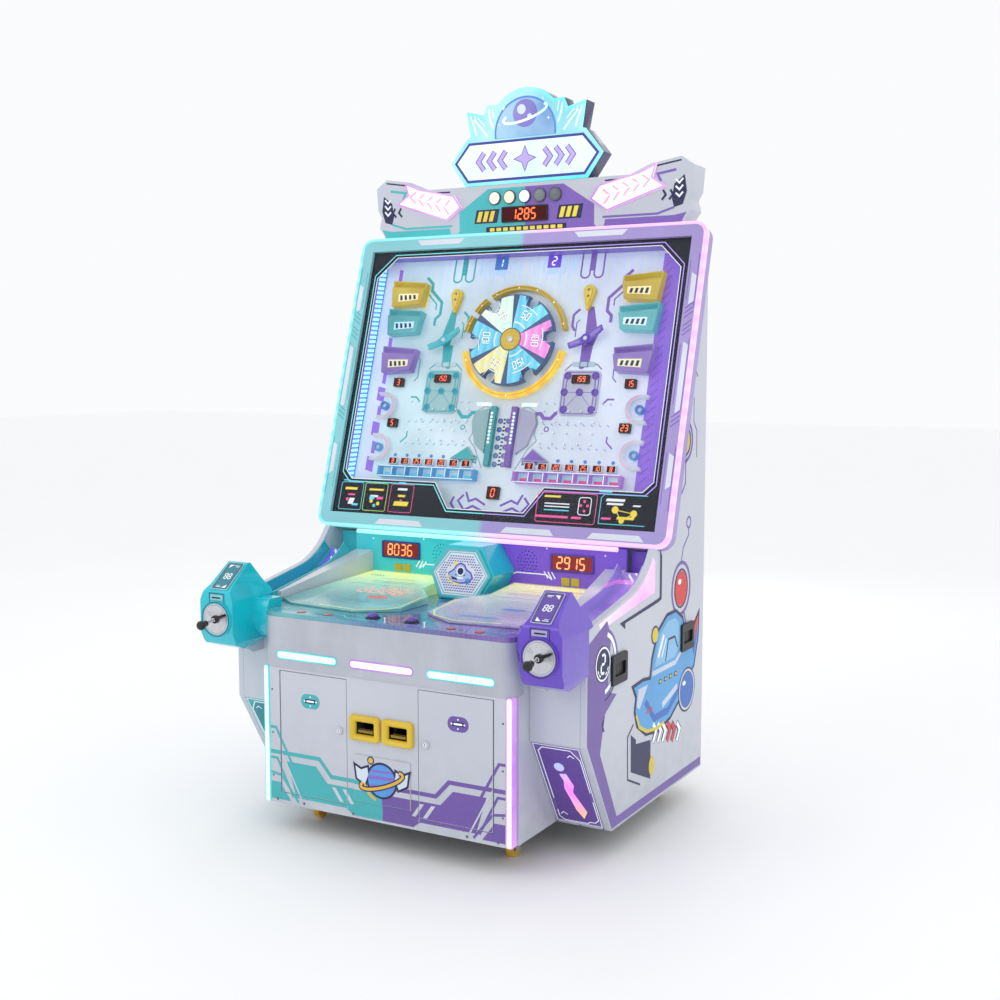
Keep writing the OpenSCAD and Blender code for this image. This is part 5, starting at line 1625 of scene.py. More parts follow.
piece("tableDigits", lambda: drawDigits("8888", -235, 262, 64, 0.02, 0.22, 9), onTray,
    inkOf("salmon", (0.95, 0.38, 0.3), 0.35), slot="tray_print")
piece("tableDigitsRight", lambda: drawDigits("8888", 262, 262, 50, 0.02, 0.22, 6), onTray,
    inkOf("trayGrey", (0.45, 0.45, 0.5), 0.15), slot="tray_print")


def trayOval(x, v, rx, ry):
    slab([(x + rx * cos(a), v + ry * sin(a)) for a in [2 * pi * i / 36 for i in range(36)]], 0.04, 0.26)


piece("tableOvalsRed", lambda: trayOval(-206, 186, 40, 20), onTray, inkOf("trayRed", (0.75, 0.04, 0.03), 0.15),
    slot="tray_print")
piece("tableOvalsTeal", lambda: trayOval(-226, 132, 30, 18), onTray, inkOf("trayDeepTeal", (0.02, 0.36, 0.44), 0.1),
    slot="tray_print")
piece("tableOvalsBlue", lambda: (trayOval(236, 88, 70, 9), trayOval(300, 196, 46, 12)), onTray,
    inkOf("trayBlue", (0.08, 0.16, 0.62), 0.1), slot="tray_print")

# printed lines on the deck in front
onDeckTop = onDeck(lipZ)


@drawnPair(onDeckTop, inkOf("deckAqua", (0.2, 0.62, 0.66), 0.05), inkOf("deckLilac", (0.36, 0.28, 0.74), 0.05),
    slot="deck_print")
def deckLines():
    stroke([(430, -392), (398, -420), (176, -420), (150, -446), (40, -446)], 5, 0.02, 0.35)
    stroke([(430, -378), (405, -404), (196, -404), (178, -392)], 2.6, 0.02, 0.35)
    stroke([(0, -452), (36, -458), (180, -458), (196, -466), (400, -466)], 2.4, 0.02, 0.35)


@drawn(onDeckTop, lit("redWindow", (0.75, 0.03, 0.03), (1, 0.16, 0.12), 0.35), slot="red_lens", both=True,
    hides=("deck_fittings",))
def redWindows():
    for x, y in ((225, -436), (325, -440)):
        lathe([(14, 0.3), (14, 1.2), (12.5, 1.9), (7, 2.2), (1, 2.3)], (x, y), 36)


@drawn(onDeckTop, darkMetal, slot="chrome", both=True)
def redWindowRims():
    for x, y in ((225, -436), (325, -440)):
        lathe([(15.4, 0.1), (15.4, 0.6), (14.2, 1.3), (13.6, 1.3), (13.5, 0.2)], (x, y), 36)


def buttonDome():
    dome = [(18 * cos(t), 7.5 + 10 * sin(t)) for t in [radians(a) for a in range(0, 90, 9)]]
    lathe([(9, -28), (9, 4.9), (17.9, 5)] + dome + [(0.4, 17.5)], (console["buttonX"], console["buttonY"]), 48)


@drawn(onDeckTop, blackPlastic, slot="chrome", both=True)
def buttonRings():
    lathe([(24, 0.3), (24, 1.4), (22.6, 3.2), (20.6, 4.3), (19.2, 4.3), (18.8, 3.6), (18.8, 0.4)],
        (console["buttonX"], console["buttonY"]), 48)


@drawn(onDeckTop, polishedChrome, slot="chrome")
def deckPosts():
    for x in (7, 149):
        lathe([(7, 0.3), (7, 1.6), (5, 2.4), (3.4, 3), (3.2, 13), (4.8, 13.8), (5, 16), (3.6, 17.8), (1, 18.2)],
            (x, -462), 28)


domePaint = moulded("buttonDome", (0.1, 0.03, 0.42), 0.12, 0.8, 500, 0.03)
piece("buttonDomeRight", buttonDome, onDeckTop, domePaint, bodyOf["button_right"], "button_purple",
    hides=("button_right",))
piece("buttonDomeLeft", buttonDome, onDeckTop, domePaint, bodyOf["button_left"], "button_purple", flip=True,
    hides=("button_left",))

# hexagonal housing with its perforated face and a capsule emblem
lean = radians(console["lean"])
onHex = placeMatrix((0, -8 * mm, (lipZ + 88) * mm), (1, 0, 0), (0, sin(lean), cos(lean)))


def hexLoop(d):
    return [(-66 + d, -75 + d), (66 - d, -75 + d), (108 - d * 1.2, 0), (54 - d, 77 - d), (-54 + d, 77 - d),
        (-108 + d * 1.2, 0)]


def insideHex(x, v, d):
    loop = hexLoop(d)
    return all((b[0] - a[0]) * (v - a[1]) - (b[1] - a[1]) * (x - a[0]) > 0 for a, b in zip(loop, loop[1:] + loop[:1]))


def capsule(grow, s=1):
    base = [(-44, -14), (-30, -26), (0, -30), (30, -26), (46, -12), (38, 4), (20, 14), (12, 28), (-2, 33), (-16, 26),
        (-24, 12), (-42, 0)]
    return offsetPath([(x * s, y * s) for x, y in base], -grow, True)


softened("hexHousing", "hex_housing", tealShell, 3, 3)


@drawn(onHex, inkOf("hexWhite", (0.72, 0.77, 0.86), 0.15, 0.2), slot="hex_print", bevel=0.6, hides=("hex_panel",))
def hexFace():
    slab(hexLoop(1.5), -8, 0.2)


@drawn(onHex, moulded("hexRimTeal", (0.1, 0.55, 0.62), 0.22, 0.5), slot="teal_shell", bevel=1, segments=3)
def hexRim():
    ringSlab(hexLoop(-6), hexLoop(3), -7.8, 1.6)
    ringSlab(hexLoop(7), hexLoop(9.5), 0, 0.7)


@drawn(onHex, inkOf("hexNavy", (0.06, 0.05, 0.42), 0.03), slot="hex_print")
def hexHoles():
    for row in range(-9, 10):
        for col in range(-13, 14):
            x, v = col * 9.2 + (row % 2) * 4.6, row * 8.2
            if insideHex(x, v, 14) and (x / 52) ** 2 + (v / 36) ** 2 > 1:
                slab([(x - 3.6, v - 2), (x + 0.6, v - 2.6), (x + 3.6, v + 2), (x - 0.6, v + 2.6)], 0.15, 0.55)


piece("hexEmblemEdge", lambda: slab(capsule(4), 0.2, 0.8), onHex, inkOf("hexViolet", (0.14, 0.06, 0.5), 0.03),
    slot="hex_print")
piece("hexEmblem", lambda: slab(capsule(-1), 0.7, 1.1), onHex, inkOf("hexSky", (0.42, 0.56, 0.9), 0.1),
    slot="hex_print")
piece("hexEmblemDark", lambda: (slab(circlePoints(0, 8, 11, 24), 1, 1.4), slab(circlePoints(-16, -4, 3, 12), 1, 1.4),
    slab(circlePoints(16, -4, 3, 12), 1, 1.4), slab([(-34, -10), (-10, -16), (-10, -22), (-30, -20)], 1, 1.4)), onHex,
    navyInk, slot="hex_print")
piece("hexEmblemPale", lambda: (stroke(circlePoints(0, 8, 14, 24), 3, 1.1, 1.5, True),
    slab(roundedRect(0, -14, 24, 6, 2.6), 1, 1.5)), onHex, paleInk, slot="hex_print")
piece("hexEmblemGold", lambda: (stroke([(-46, -6), (-42, -22), (-24, -31), (0, -35)], 4, 0.8, 1.3),
    slab(circlePoints(-22, 32, 6, 16), 0.8, 1.3)), onHex, goldInk, slot="hex_print")
piece("hexEmblemBall", lambda: lathe([(9, 0.8), (9, 2), (6.5, 4.2), (2, 5.2)], (30, -22), 28), onHex, skyInk,
    slot="hex_print")

# back wall of the console, score displays and yellow keys
wallSplit = splitPrint("consoleWall", (0.008, 0.56, 0.64), (0.17, 0.05, 0.66), 0.24, 0.16)
dress("console_back", wallSplit)
onWall = onFront(console["backY"])
display = {"w": 160, "h": 62, "frame": 7}


@drawnPair(onWall, moulded("scoreBezelBlue", (0.02, 0.05, 0.26), 0.25, 0.5),
    moulded("scoreBezelViolet", (0.1, 0.04, 0.4), 0.25, 0.5), slot="black_plastic", bevel=1, segments=3)
def scoreBezel():
    x, z, d = console["scoreX"], console["scoreZ"], display
    ringSlab(roundedRect(x, z, d["w"], d["h"], 6), roundedRect(x, z, d["w"] - 2 * d["frame"], d["h"] - 2 * d["frame"],
        2), 0.3, 6)


@drawn(onWall, lit("scoreFilterRed", (0.3, 0.004, 0.004), (0.48, 0.012, 0.01), 0.5), slot="led_red", both=True,
    hides=("score_displays",))
def scoreFilters():
    x, z, d = console["scoreX"], console["scoreZ"], display
    slab(roundedRect(x, z, d["w"] - 2 * d["frame"] - 1, d["h"] - 2 * d["frame"] - 1, 2), -26, 3.4)


piece("scoreDigits", lambda: (drawDigits("8036", -console["scoreX"] - 4, console["scoreZ"], 38, 3.3, 3.9, 5),
    drawDigits("2915", console["scoreX"] - 4, console["scoreZ"], 38, 3.3, 3.9, 5)), onWall, ledOrange, slot="led_red")


@drawn(onWall, moulded("keyYellow", (0.62, 0.5, 0.03), 0.3, 0.4), slot="yellow_plastic", bevel=1, segments=3,
    both=True)
def scoreKeys():
    for x in (console["scoreX"] - 24, console["scoreX"] + 12):
        slab(roundedRect(x, console["scoreZ"] - 62, 30, 27, 4), 0, 3)
        slab(roundedRect(x, console["scoreZ"] - 62, 20, 17, 3), 3, 4)


@drawn(onWall, paleInk, both=True)
def wallMarks():
    slab(roundedRect(216, lipZ + 184, 34, 5, 1.5), 0, 0.5)
    lathe([(3, 0), (3, 0.9), (1, 1.3)], (242, lipZ + 170), 14)
    lathe([(3, 0), (3, 0.9), (1, 1.3)], (455, lipZ + 160), 14)
    stroke([(100, lipZ + 70), (128, lipZ + 82), (240, lipZ + 82), (262, lipZ + 66)], 4, 0, 0.5)
    for k in range(3):
        stroke([(232 + k * 14, lipZ + 92), (246 + k * 14, lipZ + 70)], 4, 0, 0.5)


# ball rails: glossy channel with coloured edges and slanted marks
def makeRailPaint():
    p = Paint("railAcrylic")
    across = abs(p.x)
    edges = (across < 0.54).most(across > 0.608)
    inner = (abs(across - 0.575) < 0.014)
    cloud = p.noise(13, 4).ramp(0.3, 0.7)
    side = p.x > 0
    edge = p.mix(side, (0.02, 0.34, 0.4), (0.3, 0.24, 0.62))
    middle = p.mix(side, p.mix(cloud, (0.1, 0.1, 0.62), (0.22, 0.2, 0.85)),
        p.mix(cloud, (0.22, 0.14, 0.5), (0.4, 0.24, 0.8)))
    base = p.mix(edges, middle, edge)
    dashes = ((p.x * 34 + p.z * 30 + p.y * 14) % 1 < 0.34) * (p.z > 0.8)
    base = p.mix(dashes * inner, base, (0.75, 0.82, 1))
    streak = ((p.z * 11 + 0.2) % 1 < 0.12) * side * (p.z < 0.86)
    base = p.mix(streak * 0.7, base, (0.95, 0.3, 0.85))
    glow = p.mix(0.6, base, (0, 0, 0))
    return p.surface(base, (0.1 + cloud * 0.1), coat=0.7, normal=p.bump(p.noise(300, 2), 0.04, 0.0003), glow=glow,
        power=0.5)


softened("ballRails", "ball_rails", makeRailPaint(), 0.8, 2)


@drawn(onFront(188), wallSplit, slot="purple_shell", bevel=0.5, both=True)
def railBacking():
    slab([(531, lipZ + 1), (618, lipZ + 1), (618, lipZ + 176), (531, lipZ + 176)], 0, 3)
    for k in range(3):
        slab(roundedRect(574, lipZ + 60 + k * 40, 60, 4, 1.8), 3, 4)


softened("speakerUnits", "speakers", blackPlastic, 0.5, 2)
print("console made")
# shooters: shells, display plates, card slots, dials and cranks
gun = {"x": dialSpot.x, "z": dialSpot.z, "front": -548, "slopeY": -545, "slopeZ": 88, "dialR": 50, "rod": 35.5,
    "knob": 37.9, "droop": 8, "arm": -24}
deepFinish = {"Left": moulded("gunDeepTeal", (0.01, 0.22, 0.3), 0.18, 0.6),
    "Right": moulded("gunDeepViolet", (0.1, 0.04, 0.36), 0.18, 0.6)}
paleFinish = {"Left": moulded("gunPaleTeal", (0.3, 0.62, 0.68), 0.22, 0.5),
    "Right": moulded("gunPaleViolet", (0.42, 0.4, 0.66), 0.22, 0.5)}
onGunFront = onFront(gun["front"])
onGunSlope = placeMatrix((0, gun["slopeY"] * mm, (gun["z"] + gun["slopeZ"]) * mm), (1, 0, 0), (0, 104, 81))
softened("gunShellLeft", "gun_left", tealShell, 7, 4)
softened("gunShellRight", "gun_right", purpleShell, 7, 4)
plateX = gun["x"] - 3


def displayFrame():
    ringSlab(roundedRect(plateX, 66, 66, 118, 5), roundedRect(plateX, 66, 54, 106, 3), 0.3, 4.3)


def displayPlate():
    slab(roundedRect(plateX, 66, 54, 106, 3), 0.3, 2.3)


def displayLine():
    stroke(roundedRect(plateX, 66, 57, 109, 4), 2.6, 4.2, 4.7, True)


def displayMarks():
    drawDigits("88", plateX, 66, 22, 2.3, 2.8, 3.2)
    for v0, sign in ((22, 1), (110, -1)):
        slab([(plateX - 20 * sign, v0 - 6 * sign), (plateX - 4 * sign, v0 - 6 * sign),
            (plateX - 20 * sign, v0 + 9 * sign)], 2.3, 2.7)
        slab(roundedRect(plateX + 10 * sign, v0 - 3 * sign, 20, 2.2, 1), 2.3, 2.7)
        slab(roundedRect(plateX + 12 * sign, v0 + 2 * sign, 14, 1.6, 0.7), 2.3, 2.7)


def slotPlate():
    panel([roundedRect(gun["x"] - 2, gun["z"] + 69.2, 48, 17.4, 3),
        roundedRect(gun["x"], gun["z"] + 68.5, 36, 5, 1.5)], 0.3, 2.3)


def slotShade():
    slab(roundedRect(gun["x"], gun["z"] + 68.5, 37, 6, 1.5), -2, 0.6)


def collarRing():
    stroke(circlePoints(gun["x"], gun["z"], 54.6, 56), 2.4, 6.9, 7.6, True)


def neckLines():
    stroke([(gun["x"] - 31, gun["z"] + 51), (gun["x"] - 31, gun["z"] + 82), (gun["x"] + 29, gun["z"] + 82),
        (gun["x"] + 29, gun["z"] + 51)], 2.4, 0, 0.6)


def dialScrews():
    for a in (100, 220, 325):
        t = radians(a)
        lathe([(3.2, 4.4), (3.2, 5.6), (2.4, 6.3), (1.2, 6.2), (1.1, 5.4)],
            (gun["x"] + 33 * cos(t), gun["z"] + 33 * sin(t)), 18)


def dialDisc():
    holes = [circlePoints(gun["x"] + 33 * cos(radians(a)), gun["z"] + 33 * sin(radians(a)), 3.5, 16)
        for a in (100, 220, 325)]
    panel([circlePoints(gun["x"], gun["z"], gun["dialR"], 64), circlePoints(gun["x"], gun["z"], 7.4, 24)] + holes,
        -1.7, 6)


def dialMarks():
    for a in (140, 152, 38, 26):
        t = radians(a)
        stroke([(gun["x"] + 22 * cos(t), gun["z"] + 22 * sin(t)), (gun["x"] + 42 * cos(t), gun["z"] + 42 * sin(t))],
            0.9, 5.9, 6.2)
    stroke(circlePoints(gun["x"], gun["z"], 45.5, 56), 0.8, 5.9, 6.2, True)


def makeDialPaint():
    # turned steel: fine circular lines about each dial
    p = Paint("turnedSteel")
    dx, dz = abs(p.x) - gun["x"] * mm, p.z - gun["z"] * mm
    r = (dx * dx + dz * dz) ** 0.5
    lines = (r * 3400).sine() * 0.5 + 0.5
    smear = p.noise(24, 4).ramp(0.3, 0.7)
    base = p.mix(smear, (0.5, 0.51, 0.54), (0.66, 0.67, 0.7))
    return p.surface(base, (0.22 + lines * 0.1 + smear * 0.08), 1, p.bump(lines, 0.12, 0.0002))


dialPaint = makeDialPaint()
rodAngle = radians(gun["droop"])
rodPlace = placeMatrix((gun["x"] * mm, (gun["front"] - 12) * mm, gun["z"] * mm), (1, 0, 0),
    (0, -sin(rodAngle), cos(rodAngle)))


def crankHub():
    lathe([(6.8, -30), (6.8, 6.4), (13, 6.5), (13, 12.4), (11, 15), (4, 15.2)], (gun["x"], gun["z"]), 40)


def crankArm():
    a = radians(-gun["arm"])
    turn = lambda x, z: (gun["x"] + x * cos(a) - z * sin(a), gun["z"] + x * sin(a) + z * cos(a))
    slab([turn(*p) for p in [(0, -6), (38, -4)] + arcPoints(38, 0, 4.6, -80, 80, 8) + [(38, 4), (0, 6)]], 8.2, 14)


def crankRod():
    lathe([(5, 0), (5, gun["rod"] + 1)], count=28)
    lathe([(6.4, 2.6), (6.4, 5.4)], count=28)


def crankKnob():
    k0, k1 = gun["rod"], gun["rod"] + gun["knob"]
    curve = [(4 + 11 * cos(t), k1 - 11 + 11 * sin(t)) for t in [radians(a) for a in range(-20, 90, 10)]]
    lathe([(7, k0), (8, k0 + 0.8), (9, k0 + 8)] + curve + [(2, k1)], count=40)
    lathe([(8.9, k0 + 3), (9.6, k0 + 4), (9.6, k0 + 5.4), (9, k0 + 6.4)], count=40)


softGrip = moulded("gripRubber", (0.01, 0.01, 0.012), 0.36, 0.15, 900, 0.2)
for side, flip in (("Left", True), ("Right", False)):
    crank = "crank_left" if flip else "crank_right"
    turning = {"body": bodyOf[crank], "flip": flip}
    once = lambda node: () if flip else (node,)
    piece("gunDisplayFrame" + side, displayFrame, onGunSlope, paleFinish[side], slot="deck_print", bevel=0.8,
        flip=flip, hides=once("gun_displays"))
    piece("gunDisplayPlate" + side, displayPlate, onGunSlope, deepFinish[side], slot="deck_print", flip=flip)
    piece("gunDisplayLine" + side, displayLine, onGunSlope, navyInk, slot="deck_print", flip=flip)
    piece("gunDisplayMarks" + side, displayMarks, onGunSlope, paleInk, slot="deck_print", flip=flip)
    piece("cardSlot" + side, slotPlate, onGunFront, paleFinish[side], slot="black_plastic", bevel=0.6, flip=flip)
    piece("cardSlotShade" + side, slotShade, onGunFront, blackPlastic, slot="black_plastic", flip=flip)
    piece("gunCollarLine" + side, collarRing, onGunFront, navyInk, slot="deck_print", flip=flip)
    piece("gunNeckLine" + side, neckLines, onGunFront, navyInk, slot="deck_print", flip=flip)
    piece("dialDisc" + side, dialDisc, onGunFront, dialPaint, slot="steel", bevel=0.7, flip=flip,
        hides=once("dial_plates"))
    piece("dialMarks" + side, dialMarks, onGunFront, darkMetal, slot="steel", flip=flip)
    piece("dialScrews" + side, dialScrews, onGunFront, polishedChrome, slot="steel", flip=flip)
    # the right and left cranks are alike, not mirrored
    shift = Matrix.Translation((-2 * gun["x"] * mm, 0, 0)) if flip else Matrix()
    alike = {"body": bodyOf[crank]}
    piece("crankHub" + side, crankHub, shift @ onGunFront, softGrip, slot="black_plastic", bevel=0.5, hides=(crank,),
        **alike)
    piece("crankArm" + side, crankArm, shift @ onGunFront, softGrip, slot="black_plastic", bevel=1.2, segments=3,
        **alike)
    piece("crankRod" + side, crankRod, shift @ rodPlace, polishedChrome, slot="chrome", bevel=0.4, **alike)
    piece("crankKnob" + side, crankKnob, shift @ rodPlace, softGrip, slot="black_plastic", **alike)
print("shooters made")
# header: printed wings, lit chevron panels, red counter, lamps
head = {"face": 440, "z": 1916, "lampZ": 162, "pitch": 60, "counter": (92, 74, 129)}
onHead = onFront(head["face"]) @ Matrix.Translation((0, head["z"], 0))
headWing = [(255, 136), (319, 92), (536, 162), (485, 194), (500, 240), (433, 213), (289, 182)]
softened("headerPanel", "header", cabinetWhite, 1.5, 3)


headTeal, headViolet = inkOf("headTeal", (0.06, 0.5, 0.54), 0.1), inkOf("headPurple", (0.2, 0.11, 0.46), 0.1)


@drawnPair(onHead, headTeal, headViolet, slot="board_print")
def headBase():
    slab([(0, -6), (588, -6), (588, 20), (300, 20), (268, 52), (268, 120), (150, 196), (0, 196)], 0, 0.5)


@drawnPair(onHead, headTeal, headViolet, slot="board_print")
def headTone():
    slab([(300, 26), (588, 26), (588, 48), (604, 74), (560, 66), (420, 66), (310, 66)], 0.3, 0.7)
    stroke([(300, 74), (500, 74), (560, 92)], 7, 0.4, 0.8)
    stroke([(566, 214), (500, 204), (512, 180)], 8, 0.4, 0.8)


@drawn(onHead, navyInk, slot="board_print", both=True)
def headNavy():
    slab([(560, 92), (590, 100), (604, 142), (596, 196), (560, 168), (552, 120)], 0.4, 0.9)
    for k in range(2):
        stroke([(516 + k * 26, 118), (530 + k * 26, 134), (520 + k * 26, 150)], 7, 0.9, 1.3)
    stroke([(584, 244), (478, 228), (404, 197), (308, 195)], 5, 0.5, 0.9)
    slab([(330, 30), (470, 30), (456, 44), (344, 44)], 0.5, 0.9)


@drawn(onHead, paleInk, slot="board_print", both=True)
def headChevrons():
    for z in (176, 154, 132):
        stroke([(565, z + 6), (578, z - 6), (591, z + 8)], 6, 0.9, 1.4)


# each lit panel carries a row of arrows under a bright edge
onWingPanel = onHead @ Matrix.Translation((0, 0, 8.3))


wingWarm = lit("headerLitWarm", (1, 0.8, 0.82), (1, 0.97, 0.9), 0.95)
wingRose = lit("headerLitRose", (0.98, 0.78, 0.95), (1, 0.95, 1), 0.95)
edgeRose = lit("headerEdgeRose", (0.62, 0.22, 0.8), (0.9, 0.5, 0.98), 0.7)


@drawnPair(onWingPanel, wingRose, wingWarm, slot="light_white", bevel=0.8)
def litWing():
    slab(headWing, -8, 0.2)


@drawn(onWingPanel, edgeRose, slot="light_white", bevel=0.8, both=True)
def litWingEdge():
    stroke(offsetPath(headWing, 3, True), 6, -8, 1.2, True)


@drawn(onWingPanel, lit("arrowPink", (0.95, 0.4, 0.7), (1, 0.62, 0.82), 0.7), slot="light_white", both=True)
def wingArrows():
    for k in range(5):
        x = 306 + k * 36
        z = 140 + k * 10.5
        stroke([(x + 2, z - 24 + k * 1.2), (x + 24, z + 4), (x - 2, z + 26 - k * 1.2)], 7, 0.1, 0.6)


@drawn(onWingPanel, paleInk, slot="light_white", both=True)
def wingSparks():
    for k in range(4):
        x = 322 + k * 36
        z = 145 + k * 10.5
        slab([(x, z - 4), (x + 12, z), (x, z + 4)], 0.15, 0.7)


@drawn(onHead, blackPlastic, slot="black_plastic", bevel=0.8, hides=("header_lights",))
def counterCase():
    half, low, high = head["counter"]
    ringSlab(roundedRect(0, (low + high) / 2, 2 * half, high - low, 4),
        roundedRect(0, (low + high) / 2, 2 * half - 9, high - low - 9, 2.5), 0, 6.2)


@drawn(onHead, ledBack, slot="led_red")
def counterFilter():
    half, low, high = head["counter"]
    slab(roundedRect(0, (low + high) / 2, 2 * half - 8, high - low - 8, 2), 0, 4.4)


piece("counterDigits", lambda: drawDigits("1285", -4, 101.5, 36, 4.4, 5, 5.4), onHead, ledRed, slot="led_red")
headGold = inkOf("headGold", (0.86, 0.68, 0.05), 0.15)


@drawn(onHead, navyInk, slot="board_print")
def headMarksDark():
    for x in (-162, 168):
        slab([(x - 44, 76), (x + 50, 76), (x + 60, 124), (x - 34, 124)], 0.4, 0.75)
    slab(roundedRect(3, 52, 320, 21, 5), 0.4, 0.75)


@drawn(onHead, headGold, slot="board_print")
def headMarksGold():
    for x in (-162, 168):
        for k in range(3):
            slab([(x - 34 + k * 25, 82), (x - 18 + k * 25, 82), (x - 8 + k * 25, 118), (x - 24 + k * 25, 118)], 0.6,
                1.2)
    for k in range(11):
        slab(roundedRect(-132 + k * 27, 52, 19, 12, 2), 0.6, 1.1)


lampTones = [((1, 0.86, 0.62), (1, 0.95, 0.8), 0.9), ((1, 0.66, 0.48), (1, 0.84, 0.66), 0.9),
    ((0.66, 0.8, 1), (0.92, 0.97, 1), 0.95), ((0.28, 0.32, 0.36), (0.42, 0.46, 0.5), 0.25),
    ((0.2, 0.24, 0.27), (0.34, 0.38, 0.42), 0.2)]


def lampCap(x):
    lathe([(20.5, 0), (20.5, 7), (18.5, 9.6), (12, 11.4), (4, 12)], (x, head["lampZ"]), 40)


for k, (deep, bright, power) in enumerate(lampTones):
    piece("headLamp%d" % k, lambda: lampCap((k - 2) * head["pitch"]), onHead,
        lit("headLampGlow%d" % k, deep, bright, power), slot="light_white")


@drawn(onHead, darkMetal, slot="light_white")
def headLampRims():
    for k in range(5):
        lathe([(24, 0), (24, 6), (22.6, 8), (20.8, 8), (20.6, 5)], ((k - 2) * head["pitch"], head["lampZ"]), 40)


# top sign: thick navy body, neon edge, pale lit face with a hexagon plate and a ringed planet
signPlan = {"base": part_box("sign")[0].z / mm, "domeZ": 174.7, "domeR": 152}
onSign = onFront(head["face"]) @ Matrix.Translation((0, signPlan["base"], 0))
halfSign = [(243, 0), (302, 83), (235, 167), (222, 171), (236, 263), (180, 249), (166, 245), (152, 279),
    (112, 277)] + arcPoints(0, signPlan["domeZ"], signPlan["domeR"], 43, 90, 14)
signLoop = halfSign + mirrored(halfSign)[1:]
softened("signBody", "sign", moulded("signNavy", (0.02, 0.02, 0.12), 0.25, 0.5), 2, 3)
neon = lit("signNeon", (0.05, 0.78, 0.82), (0.4, 1, 1), 0.95)
paleFace = lit("signPale", (0.58, 0.86, 0.95), (0.92, 0.99, 1), 0.85)
skyFace = lit("signSky", (0.16, 0.66, 0.78), (0.48, 0.9, 0.96), 0.7)
hexSign = [(232, 14), (284, 83), (226, 150), (-226, 150), (-284, 83), (-232, 14)]
piece("signNeon", lambda: stroke(offsetPath(signLoop, 5.5, True), 10, -4, 1.4, True), onSign, neon, slot="sign_navy",
    bevel=1.4, segments=3)
piece("signFace", lambda: slab(offsetPath(signLoop, 10, True), -3, 0.3), onSign, skyFace, slot="sign_navy")
piece("signHexEdge", lambda: slab(offsetPath(hexSign, -2, True), 0, 0.9), onSign,
    inkOf("signCobalt", (0.04, 0.05, 0.34), 0.05), slot="sign_navy")
piece("signHex", lambda: slab(offsetPath(hexSign, 7, True), 0.6, 1.5), onSign, paleFace, slot="sign_navy", bevel=0.3)


def signDome(r, d0, d1):
    slab(arcPoints(0, signPlan["domeZ"], r, -8, 188, 36), d0, d1)


def signBars(shift, d0, d1, grow=0):
    # a row of slanted arrows, an open star and more arrows, where a name would stand
    for k in (-4, -3, -2, 2, 3, 4):
        x = k * 44 + shift
        way = 1 if k > 0 else -1
        stroke([(x - 12 * way, 52 + shift), (x + 12 * way, 83 + shift), (x - 12 * way, 114 + shift)], 13 + grow, d0,
            d1)
    slab([((40 + grow) * (1 if i % 2 == 0 else 0.42) * cos(pi * i / 4 + pi / 2) + shift,
        83 + shift + (40 + grow) * (1 if i % 2 == 0 else 0.42) * sin(pi * i / 4 + pi / 2)) for i in range(8)], d0, d1)


piece("signDomeEdge", lambda: signDome(122, 0.3, 0.9), onSign, inkOf("signBlue", (0.1, 0.26, 0.72), 0.15),
    slot="sign_navy")
piece("signDome", lambda: signDome(115, 0.7, 1.2), onSign, lit("signSpace", (0.1, 0.3, 0.72), (0.45, 0.75, 1), 0.6),
    slot="sign_navy")


@drawn(onSign, lit("planetViolet", (0.12, 0.1, 0.6), (0.35, 0.3, 0.85), 0.5), slot="sign_navy")
def signPlanet():
    slab(circlePoints(0, 238, 48, 40), 1, 1.7)


piece("signPlanetLight", lambda: (slab(circlePoints(-14, 252, 17, 28), 1.6, 2),
    slab(circlePoints(18, 226, 9, 20), 1.6, 2)), onSign, inkOf("planetPale", (0.62, 0.72, 0.98), 0.3),
    slot="sign_navy")


@drawn(onSign, paleFace, slot="sign_navy")
def signOrbit():
    pts = [(86 * cos(a), 236 + 22 * sin(a) + 20 * cos(a)) for a in [radians(d) for d in range(150, 391, 8)]]
    stroke(pts, 9, 1.8, 2.3)


@drawn(onSign, paleFace, slot="sign_navy", both=True)
def signLeaves():
    for pts in ([(150, 168), (176, 200), (206, 232)], [(196, 176), (206, 208), (222, 246)],
            [(128, 196), (140, 226), (146, 262)]):
        stroke(pts, 7, 0.3, 0.9)
        stroke([(x - 14, y + 6) for x, y in pts[1:]], 4, 0.3, 0.8)


@drawn(onSign, paleInk, slot="sign_navy")
def signStars():
    for x, y, r in ((-86, 262, 9), (92, 214, 7), (-104, 206, 6), (70, 282, 5)):
        slab([(x + r * (1 if k % 2 == 0 else 0.35) * cos(pi * k / 4),
            y + r * (1 if k % 2 == 0 else 0.35) * sin(pi * k / 4)) for k in range(8)], 0.9, 1.5)


piece("signMarksEdge", lambda: signBars(0, 1.4, 1.8, 7), onSign, inkOf("signPlum", (0.22, 0.12, 0.52), 0.1),
    slot="sign_navy")
piece("signMarks", lambda: signBars(0, 1.7, 2.2), onSign, inkOf("signLilac", (0.52, 0.42, 0.85), 0.2),
    slot="sign_navy")
softened("roofPanel", "roof_panel", cabinetWhite, 1, 2)
print("header and sign made")
# side panels, wings and their prints, drawn on the right and mirrored
sidePlan = {"roundel": (-268, 618), "grips": ((-160, 585), (396, 582))}
softened("sideRight", "side_right", cabinetWhite, 1.6, 3)
softened("sideLeft", "side_left", cabinetWhite, 1.6, 3)
softened("wingPanels", "wing_panels", cabinetWhite, 1.2, 2)
softened("sideGrips", "side_grips", blackPlastic, 2, 3)
onSide = onRight(panelX)
sideTeal, sideViolet = inkOf("sideTeal", (0.06, 0.46, 0.5)), inkOf("sidePurple", (0.19, 0.12, 0.42))


def sideArcsPale():
    stroke(arcPoints(sidePlan["roundel"][0], sidePlan["roundel"][1], 88, -80, 70, 24), 13, 0.55, 0.85)


